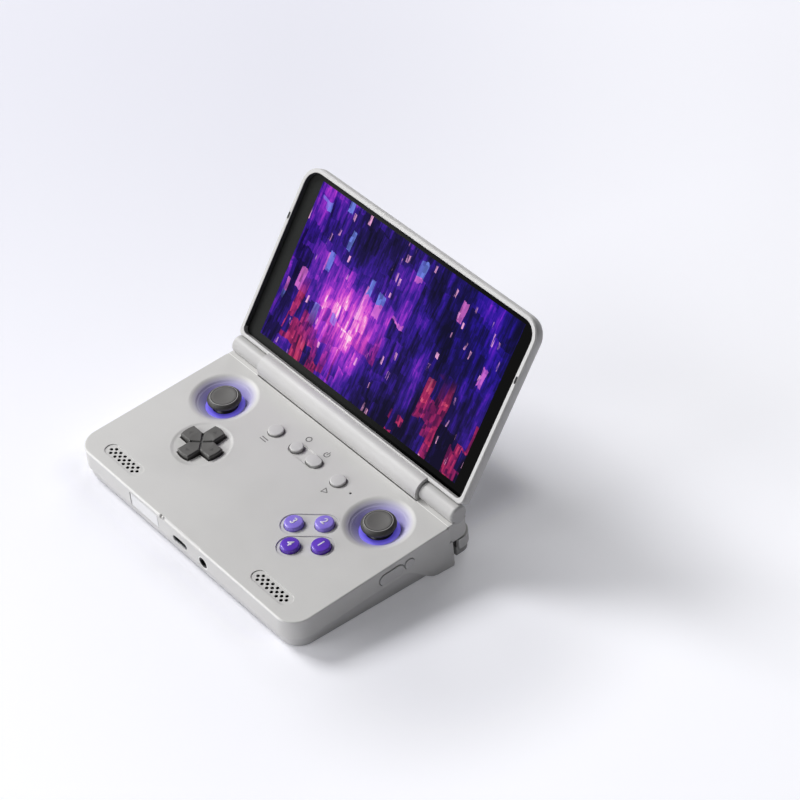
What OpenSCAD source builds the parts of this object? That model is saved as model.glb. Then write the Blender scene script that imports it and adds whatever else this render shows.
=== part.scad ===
// Clamshell handheld game console, lid open, built as separate named pieces.
// Millimetres, +Z up, +X to the player's right, -Y towards the player.
// The row frame sits on the floor at the middle of the four rubber feet.
// Most pieces are drawn in the frame of the flat top face of the base:
// origin at the middle of its front edge, x right, y rearward, z up from the face.

/* [Base housing] */
// width across the base and the lid
width = 140; // [138:0.5:143]
// depth of the flat top face up to the rear corner pockets
deck_depth = 77.2; // [76.7:0.1:77.6]
// height of the base at its front edge, without the feet
front_height = 13.8; // [13.6:0.1:15]
// angle between the top face and the floor, the base being thicker at the rear
wedge_angle = 5.5; // [4.5:0.1:6]
// plan radius of the two front corners
corner_r = 9; // [7:0.5:11]
// wall and plate thickness of the two halves of the base
wall = 1.8; // [1.6:0.1:2]
// height of the rubber feet under the base
foot_height = 0.6; // [0.4:0.1:1.5]

/* [Lid] */
// thickness of the lid from its rim plane to its back
lid_thickness = 6.8; // [6.6:0.1:8]
// depth of the display glass below the rim plane
glass_recess = 2.4; // [2.2:0.1:2.5]
// radius of the barrel that joins the lid to the base
barrel_r = 5.5; // [5.2:0.1:5.7]
// distance of each end of the barrel from the side of the lid
barrel_side = 20; // [19:0.5:22]
// opening angle of the lid as drawn
open_angle = 125.55; // [100:0.5:150]

/* [Thumb sticks] */
// distance of each thumb stick from the side of the base
stick_side = 20.8; // [20:0.2:21.4]
// distance of the thumb sticks from the rear edge of the top face
stick_rear = 18.7; // [18.2:0.25:19.7]
// radius of a stick cap
stick_cap_r = 7.05; // [6.6:0.05:7.2]

/* [Buttons] */
// distance of the direction pad's centre from the left side
dpad_side = 36.6; // [36:0.1:37.5]
// distance of the direction pad's centre in front of the thumb sticks
dpad_front = 22.9; // [22.3:0.1:23.5]
// width of one arm of the direction pad
dpad_arm = 6.7; // [6:0.1:7]
// distance of the four action buttons' centre from the right side
face_side = 34.4; // [33.6:0.1:35]
// distance of the four action buttons' centre in front of the thumb sticks
face_front = 23.9; // [23.5:0.1:24.5]
// distance of each action button from their common centre
face_spread = 8.4; // [8.1:0.1:8.8]
// radius of an action button
face_r = 3.8; // [3.5:0.1:4]
// distance of the row of menu keys from the rear edge of the top face
menu_rear = 15.9; // [15.2:0.1:16.7]

/* [Front and side] */
// place of the charging port along the front, from the middle
port_x = -1; // [-2:0.1:0.5]
// place of the earphone socket along the front, from the middle
jack_x = 13.9; // [12.5:0.1:16]
// distance of the card cover from the left side
flap_side = 36.5; // [36:0.1:37]
// distance of each loudspeaker from the side of the base
speaker_side = 22.1; // [21.5:0.1:22.5]
// middle of the volume key on the right side, from the rear edge of the top face
volume_rear = 29.9; // [29.7:0.1:31.2]

/* [Hidden] */
$fn = 64;
gap = 0.3;
fit = 0.05;
small = 0.01;
half_w = width / 2;
barrel_length = width - 2 * barrel_side;
stick_x = half_w - stick_side;
stick_y = deck_depth - stick_rear;
dpad_x = half_w - dpad_side;
dpad_y = stick_y - dpad_front;
face_x = half_w - face_side;
face_y = stick_y - face_front;
menu_y = deck_depth - menu_rear;
flap_left = -half_w + flap_side;
speaker_x = half_w - speaker_side;
volume_y = deck_depth - volume_rear;
edge_r = 0.5;
edge_fn = 16;
rear_edge = 2;
split_z = -9.2;
plate = wall;
floor_t = wall - 0.2;
pin_r = 0.6;

// seat of the base on the floor, the origin being below the middle of the whole
seat_z = front_height * cos(wedge_angle) + foot_height;

// hinge line, in the deck frame
hinge_y = deck_depth + 4.4;
hinge_z = 2.35;
lid_gap = 0.3;
knuckle_r = 3.95;
knuckle_in = barrel_length / 2 + 0.35;
knuckle_out = half_w - 3.5;
knuckle_round = 1.1;
trough_r = barrel_r + 0.35;
shaft_r = 1.4;
sleeve_r = 2.6;

// rear block and the corner pockets of the shoulder keys
rear_y = deck_depth + 10.1;
rear_half = half_w - 0.5;
rear_corner_r = 6;
rear_lean = 0.3;
rear_bend = -10.8;
rear_shoulder = -6.9;
pocket_x = half_w - 22.8;
pocket_z = split_z;
lip_z = -2.8;
band_slope = 0.2;
strap_floor_t = 0.4;

// lid, with s along the lid from the hinge line and n out of the screen
rim_n = hinge_z - lid_gap;
back_n = rim_n - lid_thickness;
low_s = 4.25;
top_s = hinge_y + 0.3;
back_r = 4.2;
back_t = 1.45;
panel_half = half_w - 7.4;
magnet_x = half_w - 5;
lid_corner = 8.5;
liner_t = 0.35;
lid_low_corner = 2.4;
lid_wall = 1.4;
seam = 0.12;
rim_side = 1.8;
rim_low_s = 5.92;
rim_top_s = top_s - lid_wall - liner_t;
glass_n = rim_n - glass_recess;
glass_t = 0.9;
panel_t = 1.2;
frame_t = 0.9;
inner_top_r = lid_corner - rim_side;
lean = 180 - open_angle + wedge_angle;
hinge_reach = hinge_y * cos(wedge_angle) - hinge_z * sin(wedge_angle);
lid_reach = (top_s - back_r) * cos(lean) - (back_n + back_r) * sin(lean) + back_r;
seat_y = (hinge_reach + lid_reach) / 2;
inner_low_r = 2.4;

// thumb stick
dish_r = 14.2;
dish_lip_r = 10.7;
dish_lip_z = -2;
ring_out = 8.05;
ring_in = 5.6;
ring_z = -4;
ring_t = 1;
pivot_z = -9;
gimbal_r = 6;
gimbal_in = 4.4;
gimbal_h = 2.8;
stem_r = 1.6;
dome_r = 6.4;
module_half = 9.2;
module_top = -6.2;
module_low = -12;
module_hole = 7.2;
trunnion_r = 0.9;
trunnion_out = 8.6;
hub_r = 2.2;
hub_len = 7;
stub_r = 0.8;
stub_out = 5.5;
click = 0.3;

// direction pad
dpad_r = 9.9;
dpad_top = 1.75;
dpad_low = -2.2;
dpad_bowl_r = 12.7;
dpad_bowl = 0.7;
dpad_pivot = -5;
carrier_r = 4.6;
carrier_in = 3;
carrier_h = 1.6;
bracket_in = 5.1;
bracket_out = 6.5;

// action buttons and menu keys
well_depth = 0.35;
face_top = 1.7;
face_flange = 0.9;
flange_top = -2.2;
flange_low = -3;
post_r = 1.5;
post_low = -5.2;
key_top = 1.3;
key_gap = 0.25;
board_top = -8;
board_t = 1.2;
board_low = board_top - board_t;
sheet_t = 0.6;
cone_top = -6.6;
select_x = stick_x - 67.7;
home_x = stick_x - 54.3;
power_x = stick_x - 43.4;
start_x = stick_x - 28.2;
lens_x = start_x + 8.3;
lens_y = menu_y - 0.6;
key_r = 3.2;
home_r = 2.75;
power_w = 7.4;
power_d = 5.4;

// front wall
port_z = board_top + 1.6;
port_w = 8.9;
port_h = 3.2;
port_deep = 7.5;
jack_z = -6.45;
jack_r = 2.4;
jack_bore = 1.75;
flap_w = 18.3;
flap_low = -8.6;
flap_top = -2.3;
flap_t = 1;
flap_pin = 0.35;
speaker_y = 8.1;
speaker_pitch = 2.9;
speaker_hole = 0.7;
volume_z = -5;
volume_len = 11.5;
volume_h = 5;
side_key_y = volume_y + 8.7;
side_key_r = 2.2;
rocker_in = 3.6;

// shoulder keys
shoulder_pin_x = pocket_x + 3.3;
shoulder_pin_y = deck_depth + 6.3;
shoulder_pin_r = 1;
shoulder_top = pocket_z - 0.8;
shoulder_low = -15;
trigger_top = -15.5;
trigger_low = -20;
shoulder_in = pocket_x + 0.8;
shoulder_room = 3.1;

// inner pieces, on the sloping floor of the base
fan_side = 50;
fan_rear = 27.2;
fan_x = half_w - fan_side;
fan_y = deck_depth - fan_rear;
fan_r = 12;
fan_h = 5.4;
duct_half = 16;
duct_wall = 1.6;
duct_end = 19;
battery_side = 10;
battery_rear = 11.2;
battery_space = 8;
battery_l = -half_w + battery_side;
battery_r = fan_x - duct_half - battery_space;
battery_y0 = 21;
battery_y1 = deck_depth - battery_rear;
rumble_side = 16;
rumble_x = half_w - rumble_side;
rumble_r = 5;
rumble_h = 2.7;
board_rear = deck_depth - 5.2;
boss_front = 17;
boss_rear = deck_depth - 7.2;
foot_x = half_w - 20;
foot_w = 14;
foot_d = 5;
foot_front = 11;
foot_rear = deck_depth - 6.2;
sink_w = 32;
sink_d = 13.5;
sink_gap = 19.5;
sink_h = 6;
fin_pitch = 3.1;
fin_t = 0.6;
battery_h = 4.6;
boss_x = half_w - 6.5;
boss_r = 2.4;
screw_r = 0.9;
head_r = 1.9;
head_z = -14.7;
head_h = 1.6;
screw_len = 6.5;

// Frames

// deck frame to row frame
module seat()
  translate([0, -seat_y, seat_z])
  rotate([wedge_angle, 0, 0])
  children();

// frame of the sloping underside, in the deck frame
module level()
  translate([0, 0, -front_height])
  rotate([-wedge_angle, 0, 0])
  children();

// everything at or above a height over the underside, in the deck frame
module above(h)
  level()
  translate([-150, -60, h])
  cube([300, 240, 80]);

// lid frame: y is s along the lid, z is n out of the screen
module lid_pose()
  translate([0, hinge_y, hinge_z])
  rotate([180 - open_angle, 0, 0])
  children();

module both() {
  children();
  mirror([1, 0, 0])
    children();
}

module box(x0, x1, y0, y1, z0, z1)
  translate([x0, y0, z0])
  cube([x1 - x0, y1 - y0, z1 - z0]);

module rod(r, z0, z1)
  translate([0, 0, z0])
  cylinder(r = r, h = z1 - z0);

module rod_x(r, x0, x1)
  translate([x0, 0, 0])
  rotate([0, 90, 0])
  cylinder(r = r, h = x1 - x0);

module rod_y(r, y0, y1)
  translate([0, y0, 0])
  rotate([-90, 0, 0])
  cylinder(r = r, h = y1 - y0);

// pill lying along x, from its middle
module pill(w, d, z0, z1) {
  box(-(w - d) / 2, (w - d) / 2, -d / 2, d / 2, z0, z1);
  for (side = [-1, 1])
    translate([side * (w - d) / 2, 0, 0])
      rod(d / 2, z0, z1);
}

// pieces extruded along x from a profile drawn in y and z
module along_x(x0, x1)
  translate([x0, 0, 0])
  rotate([90, 0, 90])
  linear_extrude(x1 - x0)
  children();

// half of a section with one rounded edge: width w, height h, radius e at the top
module edge_profile(w, h, e) {
  square([w, h - e]);
  square([w - e, h]);
  translate([w - e, h - e])
    circle(e, $fn = edge_fn);
}

// whole section with both top edges rounded
module full_profile(w, h, e) {
  translate([-w, 0])
    square([2 * w, h - e]);
  translate([-(w - e), 0])
    square([2 * (w - e), h]);
  for (side = [-1, 1])
    translate([side * (w - e), h - e])
      circle(e, $fn = edge_fn);
}

// profile along y with one rounded edge at its start
module start_profile(y0, y1, h, e) {
  translate([y0, 0])
    square([y1 - y0, h - e]);
  translate([y0 + e, 0])
    square([y1 - y0 - e, h]);
  translate([y0 + e, h - e])
    circle(e, $fn = edge_fn);
}

// Base halves

// upper block with rounded front corners and a small rounded top edge
module deck_block(inset, z_top, z_low, e) {
  r = corner_r - inset;
  h = z_top - z_low;
  hw = half_w - inset;
  back = deck_depth - inset;
  translate([0, 0, z_low]) {
    for (side = [-1, 1])
      translate([side * (hw - r), inset + r, 0])
        rotate_extrude()
        edge_profile(r, h, e);
    translate([0, back - rear_edge, 0])
      rotate([90, 0, 0])
      linear_extrude(back - rear_edge - inset - r)
      full_profile(hw, h, e);
    along_x(-(hw - r), hw - r)
      start_profile(inset, back - 10, h, e);
    box(-(hw - rear_edge), hw - rear_edge, back - 10, back, 0, h);
    for (side = [-1, 1])
      translate([side * (hw - rear_edge), back - rear_edge, 0])
        rod(rear_edge, 0, h - e);
  }
}

// lower tray shape that narrows towards the underside
module band_block(inset) {
  r_top = corner_r - 0.4 - inset;
  depth = 20;
  r_low = r_top - band_slope * depth;
  cx = half_w - corner_r;
  hx = cx + r_top;
  y_back = deck_depth - inset;
  translate([0, 0, split_z - depth]) {
    for (side = [-1, 1])
      translate([side * cx, corner_r, 0])
        cylinder(r1 = r_low, r2 = r_top, h = depth);
    along_x(-cx, cx)
      polygon([[corner_r - r_low, 0], [y_back, 0],
          [y_back, depth], [corner_r - r_top, depth]]);
    translate([0, y_back, 0])
      rotate([90, 0, 0])
      linear_extrude(y_back - corner_r)
      polygon([[-hx + band_slope * depth, 0], [hx - band_slope * depth, 0],
          [hx, depth], [-hx, depth]]);
  }
}

// y of the rear wall, which leans in above its bend
function rear_wall(z) =
  rear_y - rear_lean * max(z - rear_bend, 0) / (rear_shoulder - rear_bend);

// rear block behind the deck, between the pockets, with its sloping rear wall
module rear_profile(inset, z_low)
  polygon(concat(
      [[deck_depth - 12, z_low], [rear_wall(z_low) - inset, z_low]],
      z_low < rear_bend ? [[rear_y - inset, rear_bend]] : [],
      [[rear_wall(rear_shoulder) - inset, rear_shoulder], [hinge_y + 3.6 - inset, 1 - inset],
        [hinge_y, 1 - inset], [hinge_y - 2, -inset], [deck_depth - 12, -inset]]));

module rear_core(inset, z_low)
  along_x(-(pocket_x - inset), pocket_x - inset)
    rear_profile(inset, z_low);

// part of the rear block above the corner pockets, rounded at its outer corners
module rear_bridge(inset, z_low) {
  r = rear_corner_r - inset;
  hw = rear_half - inset;
  intersection() {
    along_x(-hw, hw)
      rear_profile(inset, z_low);
    union() {
      box(-hw, hw, deck_depth - 12, rear_y - inset - r, z_low, 3);
      box(-(hw - r), hw - r, deck_depth - 12, rear_y, z_low, 3);
      for (side = [-1, 1])
        translate([side * (hw - r), rear_y - inset - r, 0])
          rod(r, z_low, 3);
    }
  }
}

// deepened rear part of each side wall
module side_drop()
  along_x(half_w - 2.1, half_w)
    translate([deck_depth, 0])
    polygon([[-23.7, split_z + 1], [-23.7, split_z - 0.1], [-21.5, split_z - 0.7],
        [-20, -11.2], [-12.8, -18], [-10.8, -19.5], [-8.2, -20.3], [-1.5, -26],
        [0, -19.8], [0, split_z + 1]]);

module base_outer_upper() {
  difference() {
    union() {
      deck_block(0, 0, split_z, edge_r);
      both()
        intersection() {
          side_drop();
          above(0.2);
        }
      rear_bridge(0, pocket_z);
      rear_core(0, split_z);
    }
    translate([0, hinge_y, hinge_z])
      rod_x(trough_r, -knuckle_in, knuckle_in);
    box(-knuckle_in, knuckle_in, hinge_y, rear_y + 5, lip_z, 10);
    both()
      translate([0, hinge_y, hinge_z])
      rod_x(knuckle_r, knuckle_in - small, half_w);
  }
}

module base_upper_space() {
  difference() {
    union() {
      difference() {
        deck_block(wall, -plate, split_z - 5, small * 2);
        both()
          box(half_w - 9, half_w + 1, deck_depth - 5, deck_depth + 5, -4, 1);
      }
      rear_core(wall, split_z - 5);
      box(-(rear_half - wall), rear_half - wall, deck_depth - 8, hinge_y + 1,
          pocket_z + 1.6, -plate);
    }
    translate([0, hinge_y, hinge_z])
      rod_x(trough_r + 1.4, -knuckle_in - 2, knuckle_in + 2);
    both()
      translate([0, hinge_y, hinge_z])
      rod_x(knuckle_r + 1.4, knuckle_in, half_w);
    box(-half_w - 10, half_w + 10, hinge_y, rear_y + 5, lip_z - 1.4, 10);
  }
}

// raised collar under each thumb stick
module stick_collar()
  translate([stick_x, stick_y, 0]) {
    rod(dish_lip_r + 1.4, dish_lip_z - 1.4, -plate + small);
    rod(ring_out + 1.1, ring_z - ring_t - 0.9, -plate);
  }

module stick_dish()
  translate([stick_x, stick_y, 0]) {
    rotate_extrude()
      polygon([[0, 1], [dish_r + 0.9, 1], [dish_r + 0.3, 0], [dish_r - 0.1, -0.06],
          [dish_r - 0.7, -0.25], [dish_r - 1.5, -0.65], [dish_r - 2.4, -1.17],
          [dish_lip_r + 0.4, -1.78], [dish_lip_r, dish_lip_z], [dish_lip_r - 0.35, -2.3],
          [ring_out + fit, ring_z], [0, ring_z]]);
    rod(ring_out + fit, ring_z - ring_t, ring_z + small);
    rod(ring_in + 0.6, ring_z - ring_t - 2, 0);
  }

module cylinder_hole(r)
  translate([0, 0, -plate - 1])
  cylinder(r = r, h = plate + 2, $fn = 20);

module speaker_grille()
  translate([speaker_x, speaker_y, 0]) {
    pill(22.5, 6.2, -0.3, 1);
    for (row = [-1, 0, 1])
      for (i = [0 : 6 - abs(row)])
        translate([(i - (6 - abs(row)) / 2) * speaker_pitch, row * speaker_pitch / 2, 0])
          cylinder_hole(speaker_hole);
  }

module cross_shape(r, arm)
  intersection() {
    circle(r);
    union() {
      square([2 * r, arm], center = true);
      square([arm, 2 * r], center = true);
    }
  }

module button_wells() {
  for (s = [-1, 1])
    translate([face_x + s * face_spread / 2, face_y - s * face_spread / 2, 0])
      rotate([0, 0, 45])
      pill(face_spread * sqrt(2) + 11, 11, -well_depth, 1);
  translate([(home_x + power_x) / 2, menu_y, 0])
    pill(18.2, 6.7, -well_depth, 1);
}

module strap_floor()
  translate([-(half_w - corner_r), corner_r, 0])
  intersection() {
    rod(corner_r - 0.6, split_z, split_z + strap_floor_t);
    rotate([0, 0, 45])
      box(-corner_r, -corner_r + 4.9, -4, 4, split_z - 1, split_z + 1);
  }

module strap_window()
  translate([-(half_w - corner_r), corner_r, 0])
    rotate([0, 0, 45])
    box(-corner_r - 1, -corner_r + 4.6, -2.6, 2.6, -8.6, -4.7);

module front_cuts() {
  // charging port
  translate([port_x, -1, port_z])
    rotate([-90, 0, 0])
    pill(port_w + 0.2, port_h + 0.2, 0, 4);
  // earphone socket
  translate([jack_x, 0, jack_z])
    rod_y(jack_r + fit, -1, 4);
  // recess and window of the card cover
  translate([flap_left, 0, 0]) {
    box(-0.2, flap_w + 0.2, -1, flap_t + 0.2, flap_low - 0.2, flap_top + 0.2);
    box(2.6, flap_w - 2, 0, 4, flap_low + 0.8, flap_low + 3);
    translate([0.6, flap_t / 2, 0])
      rod(flap_pin + 0.07, flap_low - 0.55, flap_top + 0.45);
  }
  // nail notch of the card cover and thumb scoop of the lid
  translate([-12.4, 0.4, -0.7])
    sphere(0.9, $fn = 24);
  translate([0.75, -2.5, 1.4])
    rod_x(3.6, -11.75, 11.75);
}

module side_cuts() {
  translate([half_w, volume_y, volume_z])
    rotate([90, 0, 90])
    pill(volume_len + 0.6, volume_h + 0.6, -2.2, 1);
  translate([half_w, side_key_y, volume_z])
    rod_x(side_key_r + 0.25, -2.2, 1);
}

module at_face(i)
  translate([face_x, face_y, 0])
    rotate([0, 0, 90 * i])
    translate([face_spread, 0, 0])
    children();

module boss_places()
  both()
    for (y = [boss_front, boss_rear])
      translate([boss_x, y, 0])
        children();

module base_top_shell()
  color([0.8, 0.8, 0.79])
  seat()
  difference() {
    union() {
      difference() {
        base_outer_upper();
        base_upper_space();
      }
      both()
        stick_collar();
      boss_places()
        rod(boss_r, split_z, -plate + small);
      strap_floor();
      translate([half_w - rocker_in, volume_y, 0])
        rod(pin_r, volume_z - 2.4, -plate + small);
    }
    both() {
      stick_dish();
      speaker_grille();
    }
    button_wells();
    translate([-dpad_x, dpad_y, 0]) {
      translate([0, 0, (dpad_bowl_r * dpad_bowl_r / dpad_bowl - dpad_bowl) / 2])
        sphere(r = (dpad_bowl_r * dpad_bowl_r / dpad_bowl + dpad_bowl) / 2, $fn = 48);
      translate([0, 0, -plate - 1])
        linear_extrude(5)
        cross_shape(dpad_r + 0.5, dpad_arm + 1);
    }
    for (i = [0 : 3])
      at_face(i)
        rod(face_r + key_gap, -plate - 1, 1);
    for (x = [select_x, start_x])
      translate([x, menu_y, 0])
        rod(key_r + key_gap, -plate - 1, 1);
    translate([home_x, menu_y, 0])
      rod(home_r + key_gap, -plate - 1, 1);
    translate([power_x, menu_y, 0])
      pill(power_w + 2 * key_gap, power_d + 2 * key_gap, -plate - 1, 1);
    translate([lens_x, lens_y, 0])
      rod(0.5, -plate - 1, 1);
    strap_window();
    front_cuts();
    side_cuts();
    boss_places()
      rod(screw_r, split_z - 1, split_z + 3.5);
    // way of the display cable down into the base
    translate([-knuckle_out + 3, hinge_y, 0])
      rod(1, pocket_z + 1.7, 3);
    // pins of the shoulder keys
    both()
      translate([shoulder_pin_x, shoulder_pin_y, 0])
      rod(shoulder_pin_r, pocket_z - 1, pocket_z + 1.2);
  }

module vent_slots()
  level()
  translate([fan_x, fan_y, 0])
    for (i = [-3 : 3])
      translate([i * 3.1, 0, 0])
        pill_y(1.6, 2 * sqrt(121 - 9 * i * i), -1, floor_t + 1);

module pill_y(d, w, z0, z1)
  rotate([0, 0, 90])
  pill(w, d, z0, z1);

module base_bottom_shell()
  color([0.76, 0.76, 0.75])
  seat()
  difference() {
    union() {
      difference() {
        intersection() {
          union() {
            band_block(0);
            rear_core(0, -40);
          }
          above(0);
          box(-width, width, -5, 2 * deck_depth, -40, split_z);
        }
        intersection() {
          union() {
            band_block(wall);
            rear_core(wall, -40);
          }
          above(floor_t);
          box(-width, width, -5, 2 * deck_depth, -40, 0);
        }
        // room for the deepened side walls
        both()
          intersection() {
            box(half_w - 2.1, half_w + 1, deck_depth - 24.2, deck_depth + 12.8, -40, 0);
            translate([0.01, 0, 0])
              side_drop();
          }
      }
      intersection() {
        boss_places()
          rod(boss_r + 0.8, -40, split_z);
        above(small);
      }
    }
    boss_places() {
      rod(screw_r, head_z, split_z + 1);
      rod(head_r + 0.1, -40, head_z + head_h);
    }
    vent_slots();
    // warm air slots in the rear wall
    for (i = [0 : 8])
      translate([fan_x - 14 + i * 3.5, rear_y - 3, 0])
        box(-0.8, 0.8, 0, 5, -18.6, -13.4);
    both()
      level()
      foot_places()
      pill(foot_w + 0.2, foot_d + 0.2, -1, 0.5);
  }

module foot_places()
  for (y = [foot_front, foot_rear])
    translate([foot_x, y, 0])
      children();

module hinge_end_caps()
  color([0.8, 0.8, 0.79])
  seat()
  both()
  translate([0, hinge_y, hinge_z])
  difference() {
    union() {
      translate([knuckle_in, 0, 0])
        rotate([0, 90, 0])
        rotate_extrude()
        edge_profile(knuckle_r, rear_half - knuckle_in, knuckle_round);
      // square end below the level of the deck
      intersection() {
        rod_x(knuckle_r, knuckle_out - 1, rear_half);
        box(0, half_w, -knuckle_r, knuckle_r, -knuckle_r, -hinge_z);
      }
    }
    rod_x(sleeve_r, knuckle_in - 1, knuckle_out - 2.5);
    translate([knuckle_out - 3, 0, 0])
      rod(1, -8, 0.9);
    rod_x(1, knuckle_in, knuckle_out - 2);
  }

module hinge_sleeves()
  color([0.5, 0.5, 0.52])
  seat()
  both()
  translate([0, hinge_y, hinge_z])
  difference() {
    rod_x(sleeve_r, knuckle_in + 0.3, knuckle_out - 2.5);
    rod_x(shaft_r + fit, knuckle_in, knuckle_out - 5.5);
    rod_x(1, knuckle_in, knuckle_out);
    translate([knuckle_out - 3, 0, 0])
      rod(1, -8, 0.9);
  }

// Inner pieces

module main_board()
  color([0.1, 0.3, 0.16])
  seat()
  difference() {
    union() {
      box(-half_w + 4, half_w - 4, 9, board_rear, board_low, board_top);
      box(-half_w + 12, half_w - 12, 2.6, 10, board_low, board_top);
    }
    both() {
      translate([stick_x, stick_y, 0])
        box(-module_half - gap, module_half + gap, -module_half - gap,
            module_half + gap, -20, 0);
      translate([speaker_x, speaker_y, 0])
        box(-12.6, 12.6, -7, 5.6, -20, 0);
    }
    boss_places()
      rod(boss_r + 1.2, -20, 0);
    // floor of the strap pocket
    translate([-(half_w - corner_r), corner_r, 0])
      rod(corner_r - gap, -20, 0);
    translate([jack_x, 0, 0])
      box(-3.4, 3.4, 0, 14.2, -20, 0);
    // open corner at the side key and volume key
    box(half_w - 8, half_w, volume_y - 8, side_key_y + 4, -20, 0);
  }

module battery()
  color([0.15, 0.15, 0.17])
  seat()
  level()
  box(battery_l, battery_r, battery_y0, battery_y1, floor_t, floor_t + battery_h);

module heat_sink()
  color([0.7, 0.6, 0.5])
  seat()
  level() {
    translate([fan_x, fan_y + sink_gap, 0]) {
      box(-sink_w / 2, sink_w / 2, 0, sink_d, floor_t, floor_t + 1);
      for (i = [0 : 10])
        translate([i * fin_pitch - sink_w / 2, 0, 0])
          box(0, fin_t, 0, sink_d, floor_t + 1 - small, floor_t + sink_h);
    }
  }

module fan_housing()
  color([0.12, 0.12, 0.13])
  seat()
  level()
  translate([fan_x, fan_y, 0])
  union() {
    difference() {
      union() {
        rod(fan_r + 3, floor_t, floor_t + fan_h);
        box(-duct_half, duct_half, 0, duct_end, floor_t, floor_t + fan_h);
      }
      rod(fan_r + 1.6, floor_t + 0.8, floor_t + fan_h - 0.7);
      box(-duct_half + duct_wall, duct_half - duct_wall, 2, duct_end + 1, floor_t + 0.8,
          floor_t + fan_h - 0.7);
      difference() {
        rod(fan_r - 2, floor_t - 1, floor_t + fan_h + 1);
        rod(4, floor_t - 1, floor_t + 0.8);
        for (a = [0, 120, 240])
          rotate([0, 0, a])
            box(0, fan_r, -0.8, 0.8, floor_t, floor_t + 0.8);
      }
    }
    rod(0.8, floor_t, floor_t + 4);
  }

module fan_rotor()
  color([0.2, 0.2, 0.22])
  seat()
  level()
  translate([fan_x, fan_y, floor_t + 1.1])
  difference() {
    union() {
      rod(4.4, 0, 3.3);
      rod(fan_r, 0, 0.4);
      for (a = [0 : 30 : 330])
        rotate([0, 0, a])
          translate([3.8, 1, 0])
          rotate([0, 0, 20])
          box(0, 7.6, -0.25, 0.25, 0.2, 3);
    }
    rod(0.8 + fit, -1, 3.1);
  }

module speakers()
  color([0.1, 0.1, 0.1])
  seat()
  both()
  translate([speaker_x, speaker_y, 0])
  difference() {
    box(-12, 12, -5.6, 5, split_z, -plate);
    pill(22, 6.4, -plate - 0.8, 0);
  }

module usb_port()
  color([0.6, 0.6, 0.62])
  seat()
  translate([port_x, 0.25, port_z])
  rotate([-90, 0, 0]) {
    difference() {
      pill(port_w, port_h, 0, port_deep);
      pill(port_w - 0.7, port_h - 0.7, -1, port_deep - 1);
    }
    box(-3.4, 3.4, -0.35, 0.35, 0.8, port_deep - 0.5);
  }

module audio_jack()
  color([0.15, 0.15, 0.16])
  seat()
  translate([jack_x, 0, jack_z])
  difference() {
    union() {
      rod_y(jack_r, 0.1, wall + 0.1);
      box(-3.1, 3.1, wall + 0.05, 13.8, -2.75, 2.75);
    }
    rod_y(jack_bore, 0, 12.8);
  }

module card_reader()
  color([0.62, 0.62, 0.64])
  seat()
  translate([flap_left + flap_w / 2, 0, 0])
  difference() {
    box(-8, 8, 3.1, 18, board_top, board_top + 3.1);
    box(-6.6, 6.6, 2, 16.6, board_top + 0.5, board_top + 2.6);
  }

module strap_bar()
  color([0.7, 0.7, 0.72])
  seat()
  translate([-(half_w - corner_r), corner_r, 0])
  rotate([0, 0, 45])
  translate([-corner_r + 3.2, 0, 0])
  rod(0.8, split_z + strap_floor_t, -plate);

module rubber_feet()
  color([0.1, 0.1, 0.1])
  seat()
  both()
  level()
  foot_places()
  pill(foot_w, foot_d, -foot_height, 0.5);

module case_screws()
  color([0.2, 0.2, 0.22])
  seat()
  boss_places()
  difference() {
    union() {
      rod(head_r, head_z, head_z + head_h - small);
      rod(screw_r, head_z + small, head_z + screw_len);
    }
    for (a = [0, 90])
      rotate([0, 0, a])
        box(-1.1, 1.1, -0.22, 0.22, head_z - 1, head_z + 0.8);
  }

module stick_module()
  translate([stick_x, stick_y, 0])
  difference() {
    box(-module_half, module_half, -module_half, module_half, module_low, module_top);
    rod(module_hole, module_low - 1, module_top + 1);
    translate([0, 0, pivot_z])
      rod_x(trunnion_r + fit, -trunnion_out - 0.2, trunnion_out + 0.2);
  }

module stick_module_left()
  color([0.25, 0.25, 0.27])
  seat()
  mirror([1, 0, 0])
  stick_module();

module stick_module_right()
  color([0.25, 0.25, 0.27])
  seat()
  stick_module();

module light_ring()
  translate([stick_x, stick_y, 0])
  difference() {
    rod(ring_out, ring_z - ring_t, ring_z);
    rod(ring_in, ring_z - 3, ring_z + 1);
  }

module light_ring_left()
  color([0.36, 0.3, 0.75])
  seat()
  mirror([1, 0, 0])
  light_ring();

module light_ring_right()
  color([0.36, 0.3, 0.75])
  seat()
  light_ring();

module dpad_bracket()
  color([0.3, 0.3, 0.32])
  seat()
  translate([-dpad_x, dpad_y, 0])
  difference() {
    union() {
      box(-bracket_out, bracket_out, -2, 2, board_top, board_top + 0.7);
      for (side = [-1, 1])
        translate([side * (bracket_in + bracket_out) / 2, 0, 0])
          box(-0.7, 0.7, -2, 2, board_top, dpad_pivot + 1.4);
    }
    translate([0, 0, dpad_pivot])
      rod_x(pin_r + fit, -bracket_out - 1, bracket_out + 1);
  }

module cone(r)
  translate([0, 0, board_top + sheet_t - small])
  cylinder(r1 = r, r2 = r - 0.7, h = cone_top - board_top - sheet_t);

module button_membranes()
  color([0.7, 0.7, 0.72])
  seat() {
    translate([face_x, face_y, 0])
      rotate([0, 0, 45])
      box(-9.6, 9.6, -9.6, 9.6, board_top, board_top + sheet_t);
    for (i = [0 : 3])
      at_face(i)
        cone(2.6);
    box(select_x - 4, start_x + 4, menu_y - 4, menu_y + 4, board_top, board_top + sheet_t);
    for (x = [select_x, home_x, power_x, start_x])
      translate([x, menu_y, 0])
        cone(2.2);
  }

module trigger_pins()
  color([0.7, 0.7, 0.72])
  seat()
  both()
  translate([shoulder_pin_x, shoulder_pin_y, 0])
  rod(shoulder_pin_r, trigger_low - 0.4, pocket_z + 1.2);

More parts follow.
